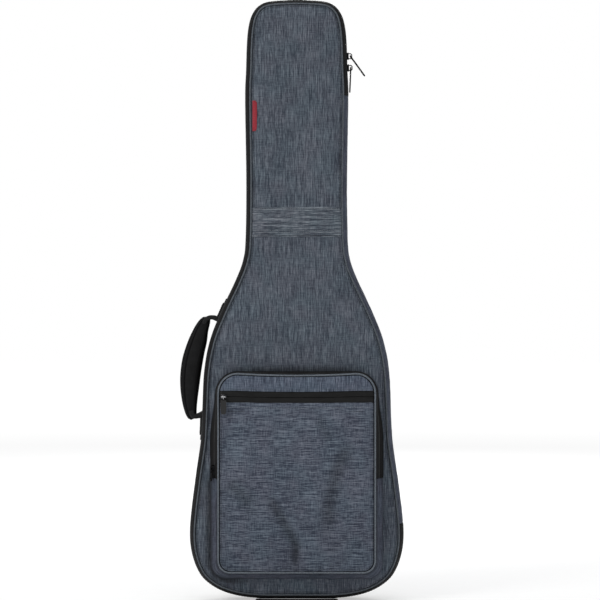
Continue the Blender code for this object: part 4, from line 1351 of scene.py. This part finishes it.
def crease(x, z, line, dx, dz, width, amount):
    """A soft crease along a shifted line: full in the middle, fading towards both ends."""
    near, place_on = np.full(len(x), 1e9), np.zeros(len(x))
    line = np.array(line, float) + (dx, dz)
    ends = run_lengths(line)
    for p, q, done, end in zip(line, line[1:], ends, ends[1:]):
        length = end - done
        t = np.clip(((x - p[0]) * (q[0] - p[0]) + (z - p[1]) * (q[1] - p[1])) / length ** 2, 0, 1)
        d = np.hypot(x - p[0] - t * (q[0] - p[0]), z - p[1] - t * (q[1] - p[1]))
        closer = d < near
        near[closer], place_on[closer] = d[closer], ((done + t * length) / ends[-1])[closer]
    fade = soft_step(place_on, 0.0, 0.2) * (1 - soft_step(place_on, 0.82, 1.0) * 0.6)
    return amount * fade * np.exp(-(near / width) ** 2)


def pocket_face():
    """The large cloth below the face zip, with its folds."""
    heights = [CLOTH_LOW + CLOTH_R_LOW * (1 - math.cos(a)) for a in np.linspace(0, np.pi / 2, 8)]
    heights += list(np.linspace(CLOTH_LOW + CLOTH_R_LOW, ZIP_LOW - 0.4, 72)[1:])
    cloth, rim = face_sheet("pocket_face_cloth", heights, "heather_across", sag=1.6)
    lift_inside(cloth, rim, -1.3)
    puff(cloth, rim, pressure=2.6, cap=4.6, grow=0.014, bend=3.0)
    co = positions(cloth.data)
    x, z = co[:, 0], co[:, 2]
    fold = sum(crease(x, z, *entry) for entry in FOLDS)
    fold += 1.1 * np.sin(x * 0.043 + 1.0) * np.sin(z * 0.031 + 0.4)
    fold += 0.5 * np.sin(x * 0.09 + z * 0.05)
    hem = 0.7 / (1 + np.exp(-(z - 346.5) / 0.6))          # folded hem below the zip
    from_edge = STRAIGHT_W - np.abs(x)
    inside = np.minimum(np.minimum(from_edge, z - CLOTH_LOW), ZIP_LOW - z)
    co[:, 1] -= fold * np.clip(inside / 14.0, 0, 1) + hem * np.clip(from_edge / 3, 0, 1)
    shade = sum(crease(x, z, *entry) for entry in FOLD_SHADES)
    # Painted light in the middle, and painted shade along the bottom and the left edge
    shade -= 0.10 * np.exp(-((x - 20) / 50.0) ** 2 - ((z - 260) / 60.0) ** 2)
    shade += 0.07 * np.clip(1 - (z - CLOTH_LOW) / 150.0, 0, 1) + 0.10 * soft_step(-x, 105, 138)
    set_shade(cloth, shade)
    set_positions(cloth, co)
    cloth.data.materials.append(MATERIALS["nylon"])       # on the inner face
    finished(cloth, 1.5, levels=0, slot_offset=1)
    finished(cloth)
    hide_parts("pocket_panel_lower", "pocket_panel_mid")
    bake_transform(cloth)
    return Surface(cloth)


def pocket_strip():
    """The narrow cloth above the face zip."""
    heights = [ZIP_HIGH + 0.3, ZIP_HIGH + 1.2, ZIP_HIGH + 4, 385, 390, 395, 400]
    heights += [CLOTH_TOP - drop for drop in (4.2, 2.2, 0.9, 0.2)]
    cloth, rim = face_sheet("pocket_strip_cloth", heights, "heather_strip", sag=3.0)
    lift_inside(cloth, rim, -1.6)
    co = positions(cloth.data)
    x, z = co[:, 0], co[:, 2]
    inside = np.clip(np.minimum(face_half_width(380) - np.abs(x), 20) / 20.0, 0, 1)
    roll = 1.3 * np.exp(-((z - 392) / 10.0) ** 2)
    ripple = 0.4 * np.sin(x * 0.07 + 2) * np.exp(-((z - 390) / 8.0) ** 2)
    co[:, 1] -= (roll + ripple) * inside
    set_positions(cloth, co)
    finished(cloth, 1.5)
    mount(cloth, "pocket_flap", "pocket_panel_top")
    return Surface(cloth)


def zip_line(z, x):
    """Height of the face zip's lines, which hang with the pocket's top."""
    return z - 1.6 * slack(x)


def zip_flap(which, far, near):
    """Half of the coated band over the face zip, from its sewn edge to its free one."""
    w = face_half_width((near + far) / 2) - 0.3
    xs = np.linspace(-w, w, 70)
    step = 1.0 if near > far else -1.0
    width = far - near
    # z, y from the face
    section = [(far, 0.9), (far, 0.3), (far + 3.0 * step, 0.1), (far + 4.6 * step, -0.9),
               (near + width / 3, -1.5), (near + width * 0.12, -1.75),
               (near + width * 0.03, -1.55), (near, -1.0), (near, -0.1)]
    rings = [[(x, POCKET_Y + 0.6 + dy - 0.12 * math.sin(x * 0.06), zip_line(z, x))
              for z, dy in section] for x in xs]
    obj = solid("pocket_zip_band_" + which, rings, xs, [0, 1, 4, 6, 8, 9, 10, 11, 12, 20.0],
                "coated")
    mount(obj, "pocket_flap", "pocket_zip_tape_" + which)


face_at = pocket_face()
strip_at = pocket_strip()
zip_flap("lower", ZIP_LOW - 3.0, 367.55)
zip_flap("upper", ZIP_HIGH + 3.0, 368.05)

zip_xs = np.linspace(4 - STRAIGHT_W, STRAIGHT_W - 4, 90)
for name, surface, z, thread in (("pocket_hem_seam", face_at, 349.4, "thread_light"),
                                 ("pocket_strip_seam", strip_at, 381.2, "thread")):
    surface.seam(name, [(x, zip_line(z, x)) for x in zip_xs], -74.0, 0.1, thread, "pocket_flap",
                 length=3.0, gap=1.3, radius=0.3)
seam_loop = face_loop(-5.6)
lower_run = seam_loop[[k % LOOP_N for k in range(FLAP_L, FLAP_R + LOOP_N + 1)]]
side_runs = [[(x, z) for x, z in run if FLAP_Z + 8 < z < 344][:40]
             for run in (seam_loop[FLAP_R + 3:], seam_loop[::-1][LOOP_N - FLAP_L + 2:])]
for suffix, run, body in (("", lower_run, "cover"), ("_right", side_runs[0], "pocket_flap"),
                          ("_left", side_runs[1], "pocket_flap")):
    face_at.seam("pocket_face_seam" + suffix, run, -73.5, 0.08, "thread_dark", body,
                 length=3.0, gap=1.5, radius=0.3)


def pocket_lining():
    """Inside of the pocket: a smooth lining on the cover."""
    centre, base = np.array((0, 230.0)), base_loop(-3.0)
    rings = [[(x, BASE_Y - 0.6 - 0.25 * math.sin(x * 0.05) * math.sin(z * 0.03), z)
              for x, z in centre + (base - centre) * share]
             for share in (0.05, 0.35, 0.65, 0.85, 0.96, 1.0)]
    lining = sheet("pocket_back_lining", rings, "nylon", rings=True)
    face_towards(lining, -1, hole=LOOP_N)
    finished(lining, 0.7, levels=0)
    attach(lining, "cover")


pocket_lining()

# ------------------------------------------------------------------ metal and moulded parts
carried(["main_slider_lower", "main_slider_upper", "side_slider"], "gunmetal", 0.35, swell=0.2)
carried(["main_pull_lower", "main_pull_upper"], "gunmetal", 0.35, swell=0.5)
carried(["side_pull"], "gunmetal", 0.35, swell=0.2)
carried(["pocket_pull_ring"], "bright", 0.3)


def pocket_slider():
    """Slider of the face zip: a plate, an arch over it and a plate under it."""
    at = np.array((-129.5, POCKET_Y, 367.8))
    g = circle(16)
    rings = []
    for t in np.linspace(0, 1, 13):      # along the zip: rounded nose, waist, wide shoulders
        wide = (2.6 + 2.1 * math.sin(math.pi * min(t * 1.25, 1.0) ** 0.8) ** 0.7
                + 0.5 * math.exp(-((t - 0.85) / 0.1) ** 2))
        tall = 0.35 + 1.0 * math.sin(math.pi * np.clip(t, 0.03, 0.97)) ** 0.5
        rings.append(np.stack([np.full(16, at[0] - 5.3 + 10.6 * t),
                               at[1] - 2.7 - tall * np.sin(g),
                               at[2] + wide * signed_power(np.cos(g), 0.7)], -1))
    # The plate's steel is a darker copy of the arch's bright metal: painted shade on the slider's
    # body.
    plate = solid("pocket_slider_body", rings, np.linspace(0, 10, 13), np.linspace(0, 20, 17),
                  "steel")
    finished(plate)
    mount(plate, "pocket_runner", "pocket_slider")
    arch = [(-4.0, -2.6, 0), (-4.2, -4.6, 0), (-3.2, -6.6, 0), (-1.2, -7.9, 0)]
    arch += [(-x, y, z) for x, y, z in arch[::-1]]
    loop = sweep("pocket_slider_arch", smooth_curve(arch, 5) + at, (0, 0, 1),
                 rounded(1.25, 0.55, 0.45), "bright")
    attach(loop, "pocket_runner")
    under = sweep("pocket_slider_under", [at + (x, 0.4, 0) for x in (-4.8, 0, 4.8)], (0, 0, 1),
                  rounded(3.9, 0.6, 0.5), "bright", scale=[(0.7, 1), (1, 1), (0.9, 1)])
    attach(under, "pocket_runner")


pocket_slider()
carried(["pocket_pull_tab"], "rubber", 0.6, 3)
carried(["ladder_lock_left", "ladder_lock_right"], "plastic", 0.7, 3)
carried(["base_pad_rear", "base_pad_front", "end_pin_pad"], "rubber", 0.6, 3)

# ------------------------------------------------------------------ side handle
padded("handle_grip_pad", GRIP, HANDLE_Y, "grip_face", "handle", "handle_grip", seam_angle=0.62,
       thread="thread_dark", depth_share=0.66, flat=2.5, round_end=5.0)


def handle_link(which, points, fullness):
    """Webbing between the shell and one end of the grip, thinning towards the grip."""
    path = smooth_curve(points, 6)
    t = np.linspace(0, 1, len(path))
    thickness = fullness * (1.0 - 0.38 * np.clip(t * 2.2, 0, 1) + 0.2 * t)
    link = sweep(f"handle_link_{which}_web", path, (0, 1, 0), rounded(8.5, 4.8, 1.8), "webbing",
                 scale=np.stack([1 - 0.12 * t, thickness], -1))
    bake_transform(link)
    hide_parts("handle_link_" + which)


def handle_tab(which, z_top, z_low, fold_from, fold_to):
    """Webbing sewn on the left side, with a second layer over part of it and a box stitch."""
    s0, s1 = s_left(z_top), s_left(z_low)
    f0, f1 = s0 + fold_from, s1 - fold_to
    section = rounded(12.0, 1.15, 0.9)
    tab = band(f"handle_tab_{which}_web", [(0.9 + o, HANDLE_Y + a) for a, o in section],
               "webbing", s0, s1, step=4.0)
    mount(tab, "shell", "handle_tab_" + which)
    over = band(f"handle_tab_{which}_fold", [(2.6 + o, HANDLE_Y + a) for a, o in section],
                "webbing", f0, f1, step=4.0)
    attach(over, "shell")
    (a, b), n = outline_at([f0 + 3, f1 - 3], 3.95)
    y0, y1 = HANDLE_Y - 9.0, HANDLE_Y + 9.0
    corners = [(a[0], y0, a[1]), (a[0], y1, a[1]), (b[0], y1, b[1]), (b[0], y0, b[1])]
    box_stitch(f"handle_tab_{which}_seam", corners, (n[0, 0], 0, n[0, 1]), "shell")


root = np.array((-144.6, HANDLE_Y, 505.0))
handle_link("upper", [
    root + (4.0, 0, -0.6), root + (-1.0, 0, 0.8), (-151, HANDLE_Y, 507.4),
    (-157.5, HANDLE_Y, 507.2), (-163.5, HANDLE_Y, 503.6), (-168.5, HANDLE_Y, 495.5),
], fullness=1.15)
root = np.array((-173.6, HANDLE_Y, 331.0))
handle_link("lower", [
    root + (4.5, 0, 1.6), root + (-0.5, 0, -0.2), (-178.5, HANDLE_Y, 329.6),
    (-184.0, HANDLE_Y, 329.0), (-188.6, HANDLE_Y, 331.5), (-190.8, HANDLE_Y, 339.0),
], fullness=1.3)
handle_tab("upper", 541.0, 506.0, fold_from=9, fold_to=0)
handle_tab("lower", 328.0, 286.5, fold_from=0, fold_to=9)

# ------------------------------------------------------------------ hang loop on the top
LOOP_HALF = [(31, 1078.2), (26, 1078.7), (18, 1080.0), (8, 1081.0)]     # x, z
loop_points = [(-x, 13.5, z) for x, z in LOOP_HALF] + [(0, 13.5, 1081.2)]
loop_points += [(x, 13.5, z) for x, z in LOOP_HALF[::-1]]
mount(strap("hang_loop_web", loop_points, (0, 1, 0), 23.0, 1.7, "webbing"), "shell", "hang_loop")
for sign, label in ((-1, "left"), (1, "right")):
    corners = [(sign * 30, 4, 1079.3), (sign * 22, 4, 1080.4), (sign * 22, 23, 1080.4),
               (sign * 30, 23, 1079.3)]
    box_stitch("hang_loop_seam_" + label, corners, (0, 0, 1), "shell")


# ------------------------------------------------------------------ inside: neck rest and strap
def neck_rest(back_y=27.4, low=698.3, top=781.7):
    """A cradle with a raised block on each side of its hollow."""
    # Left half of the section: x, y
    left = [(-55, back_y), (-55, 20), (-54.5, 15), (-51, 12.4), (-43, 11.8), (-35, 12.2),
            (-30.5, 14.4), (-29, 18), (-26, 21), (-15, 21.6)]
    section = left + [(0, 21.7)] + [(-x, y) for x, y in left[::-1]]
    heights = [low, 699.0, 701.0, 706, 716, 728, 740, 752, 764, 774, 779, 781.0, top]
    rings = []
    for z in heights:
        full = math.sin(min(min(z - low, top - z) / 6, 1) * math.pi / 2)
        rings.append([(x * (0.93 + 0.07 * full), back_y - (back_y - y) * (0.8 + 0.2 * full), z)
                      for x, y in section])
    rest = solid("neck_rest_pad", rings, heights, run_lengths(section, True), "plush")
    finished(rest)
    mount(rest, "shell", "neck_rest")


def neck_strap(z=740):
    points = [(-44.5, 10.9, z), (-36, 10.75, z), (-18, 10.6, z), (0, 10.55, z), (20, 10.6, z),
              (38, 10.8, z), (44, 10.9, z)]
    mount(strap("neck_strap_web", points, (0, 0, 1), 37.0, 1.5, "webbing"), "neck_strap",
          "neck_strap")
    hook = sweep("neck_strap_hook", [(22, 9.75, z), (30, 9.75, z), (42, 9.85, z)], (0, 0, 1),
                 rounded(17, 0.5, 0.4), "plush_side")
    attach(hook, "neck_strap")
    corners = [(-42, 9.95, z - 16), (-36, 9.9, z - 16), (-36, 9.9, z + 16), (-42, 9.95, z + 16)]
    box_stitch("neck_strap_seam", corners, (0, -1, 0), "neck_strap")


neck_rest()
neck_strap()


# ------------------------------------------------------------------ back: yoke, straps, anchors
def back_patch(name, outline, lift, thickness, node):
    """A flat patch with softened corners, sewn on the back panel."""
    corners = np.asarray(outline, float)
    centre = corners.mean(0)
    rim = subdivided(corners, 3.0, math.floor)
    for _ in range(2):
        rim = (np.roll(rim, 1, 0) + 2 * rim + np.roll(rim, -1, 0)) / 4
    rings = [[(x, back_at.at(x, z, 40.5) + lift, z) for x, z in centre + (rim - centre) * share]
             for share in (0.12, 0.3, 0.5, 0.7, 0.86, 0.95, 1.0)]
    obj = sheet(name, rings, "nylon_patch", rings=True)
    face_towards(obj, 1, hole=len(rim))
    finished(obj, thickness, levels=0)
    mount(obj, "shell", node)
    reach = np.linalg.norm(rim - centre, axis=1)[:, None]
    back_at.seam(name + "_seam", centre + (rim - centre) * (1 - 3.2 / reach), 40.5, lift + 0.12,
                 "thread", "shell", closed=True, length=2.8, gap=1.5)


def shoulder_strap(which, sign):
    """Pad, webbing at both of its ends and anchor patch of one shoulder strap."""
    padded(f"shoulder_pad_{which}_cloth", SHOULDER_PAD, 48.2, "air_mesh", "strap_" + which,
           "shoulder_pad_" + which, seam_angle=0.5 * np.pi - 0.30, thread="thread",
           half_depth=4.6, mirror=sign, flat=3.2, round_end=9.0, quilt=52.0)
    root = strap("strap_root_" + which, [
        (34 * sign, 43.6, 668), (34 * sign, 43.8, 660), (34.3 * sign, 45.0, 650),
        (35 * sign, 47.0, 640), (36 * sign, 48.0, 632),
    ], (1, 0, 0), 30.0, 2.0, "webbing_back")
    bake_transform(root)
    lock, anchor = np.array((86.2 * sign, 0, 276.0)), np.array((137.0 * sign, 0, 96.0))
    run = unit(anchor - lock)
    points = [lock + run * 4.0 + (0, 44.6, 0)]
    points += [lock + (anchor - lock) * t + (0, 43.7 + 0.25 * math.sin(9 * t), 0)
               for t in (0.12, 0.3, 0.5, 0.7, 0.88, 1.0)]
    mount(strap(f"strap_webbing_{which}_web", points, (-run[2], 0, run[0]), 25.0, 1.5,
                "webbing_back"), "shell", "strap_webbing_" + which)
    wing = [(118, 118), (109, 96), (122, 66), (146, 62), (163, 84), (160, 108), (142, 122)]
    back_patch("anchor_patch_" + which, [(x * sign, z) for x, z in wing], lift=0.9,
               thickness=1.2, node="strap_anchor_" + which)


YOKE = [(-52, 650), (52, 650), (60, 662), (60, 706), (48, 718), (-48, 718), (-60, 706),
        (-60, 662)]
back_patch("yoke_patch", YOKE, lift=1.3, thickness=1.3, node="strap_yoke")
shoulder_strap("left", -1)
shoulder_strap("right", 1)

# ------------------------------------------------------------------ camera, floor and light (metres)
CAMERA_DISTANCE = 3.7
VIEW_WIDTH = 1.08                        # what the camera sees in the main zip's plane
cam = bpy.data.cameras.new("camera")
cam.sensor_width = 36.0
cam.lens = cam.sensor_width * (CAMERA_DISTANCE + ZIP_Y * MM) / VIEW_WIDTH
camera = bpy.data.objects.new("camera", cam)
camera.location = (0.0058, -CAMERA_DISTANCE, 0.539)
camera.rotation_euler = (math.pi / 2, 0, 0)
scene.collection.objects.link(camera)
scene.camera = camera


def floor_paper():
    """White paper that glows for the camera only, more with the distance from the bag."""
    paper = Shader("floor_paper")
    speck = paper.noise(paper.obj(), scale=40.0, detail=3, rough=0.6)
    paper.set(Base_Color=paper.ramp(speck, (0.3, grey(0.86)), (0.7, grey(0.88))), Roughness=0.9,
              Specular_IOR_Level=0.1)
    glow = paper.node("Emission")
    glow.inputs["Color"].default_value = WHITE
    glow.inputs["Strength"].default_value = 1.02
    distance = paper.node("VectorMath")
    distance.operation = "LENGTH"
    paper.link(paper.obj(), distance.inputs[0])
    share = paper.affine(distance.outputs["Value"], times=0.11, plus=0.45)
    share = paper.math("MINIMUM", share, 1.0)
    seen = paper.node("LightPath").outputs["Is Camera Ray"]
    both = paper.node("MixShader")
    paper.link(paper.math("MULTIPLY", seen, share), both.inputs[0])
    paper.link(paper.bsdf.outputs[0], both.inputs[1])
    paper.link(glow.outputs[0], both.inputs[2])
    paper.link(both.outputs[0], paper.out.inputs[0])
    return paper.mat


bm = bmesh.new()
bmesh.ops.create_circle(bm, cap_ends=True, radius=14.0, segments=96)
floor_mesh = bpy.data.meshes.new("floor")
bm.to_mesh(floor_mesh)
bm.free()
floor = bpy.data.objects.new("floor", floor_mesh)
scene.collection.objects.link(floor)
floor_mesh.materials.append(floor_paper())


def studio_world():
    """White to the camera, a dim cool light to everything else."""
    world = bpy.data.worlds.new("studio")
    world.use_nodes = True
    scene.world = world
    tree = world.node_tree
    tree.nodes.clear()
    out = tree.nodes.new("ShaderNodeOutputWorld")
    pick = tree.nodes.new("ShaderNodeMixShader")
    path = tree.nodes.new("ShaderNodeLightPath")
    tree.links.new(path.outputs["Is Camera Ray"], pick.inputs[0])
    for index, colour, strength in ((1, (0.97, 0.985, 1.0, 1), 0.44), (2, WHITE, 1.0)):
        background = tree.nodes.new("ShaderNodeBackground")
        background.inputs["Color"].default_value = colour
        background.inputs["Strength"].default_value = strength
        tree.links.new(background.outputs[0], pick.inputs[index])
    tree.links.new(pick.outputs[0], out.inputs[0])


def softbox(name, at, aim_z, size, watts, tone=(1, 1, 1)):
    """Rectangular area light aimed at a height on the bag's axis."""
    data = bpy.data.lights.new(name, "AREA")
    data.shape = "RECTANGLE"
    data.size, data.size_y = size
    data.energy = watts
    data.color = tone
    obj = bpy.data.objects.new(name, data)
    obj.location = at
    aim = Vector((0, 0, aim_z)) - Vector(at)
    obj.rotation_euler = aim.to_track_quat("-Z", "Y").to_euler()
    scene.collection.objects.link(obj)


studio_world()
softbox("key", at=(-2.5, -2.1, 2.5), aim_z=0.6, size=(1.3, 1.3), watts=50, tone=(1.0, 0.99, 0.97))
softbox("fill", at=(2.4, -2.0, 1.2), aim_z=0.5, size=(1.4, 1.8), watts=4)
softbox("top", at=(0.0, -0.3, 3.2), aim_z=0.5, size=(2.2, 1.6), watts=20)
softbox("rear", at=(0.2, 3.1, 1.8), aim_z=0.5, size=(1.2, 1.6), watts=95)
scene.view_settings.view_transform = "Standard"
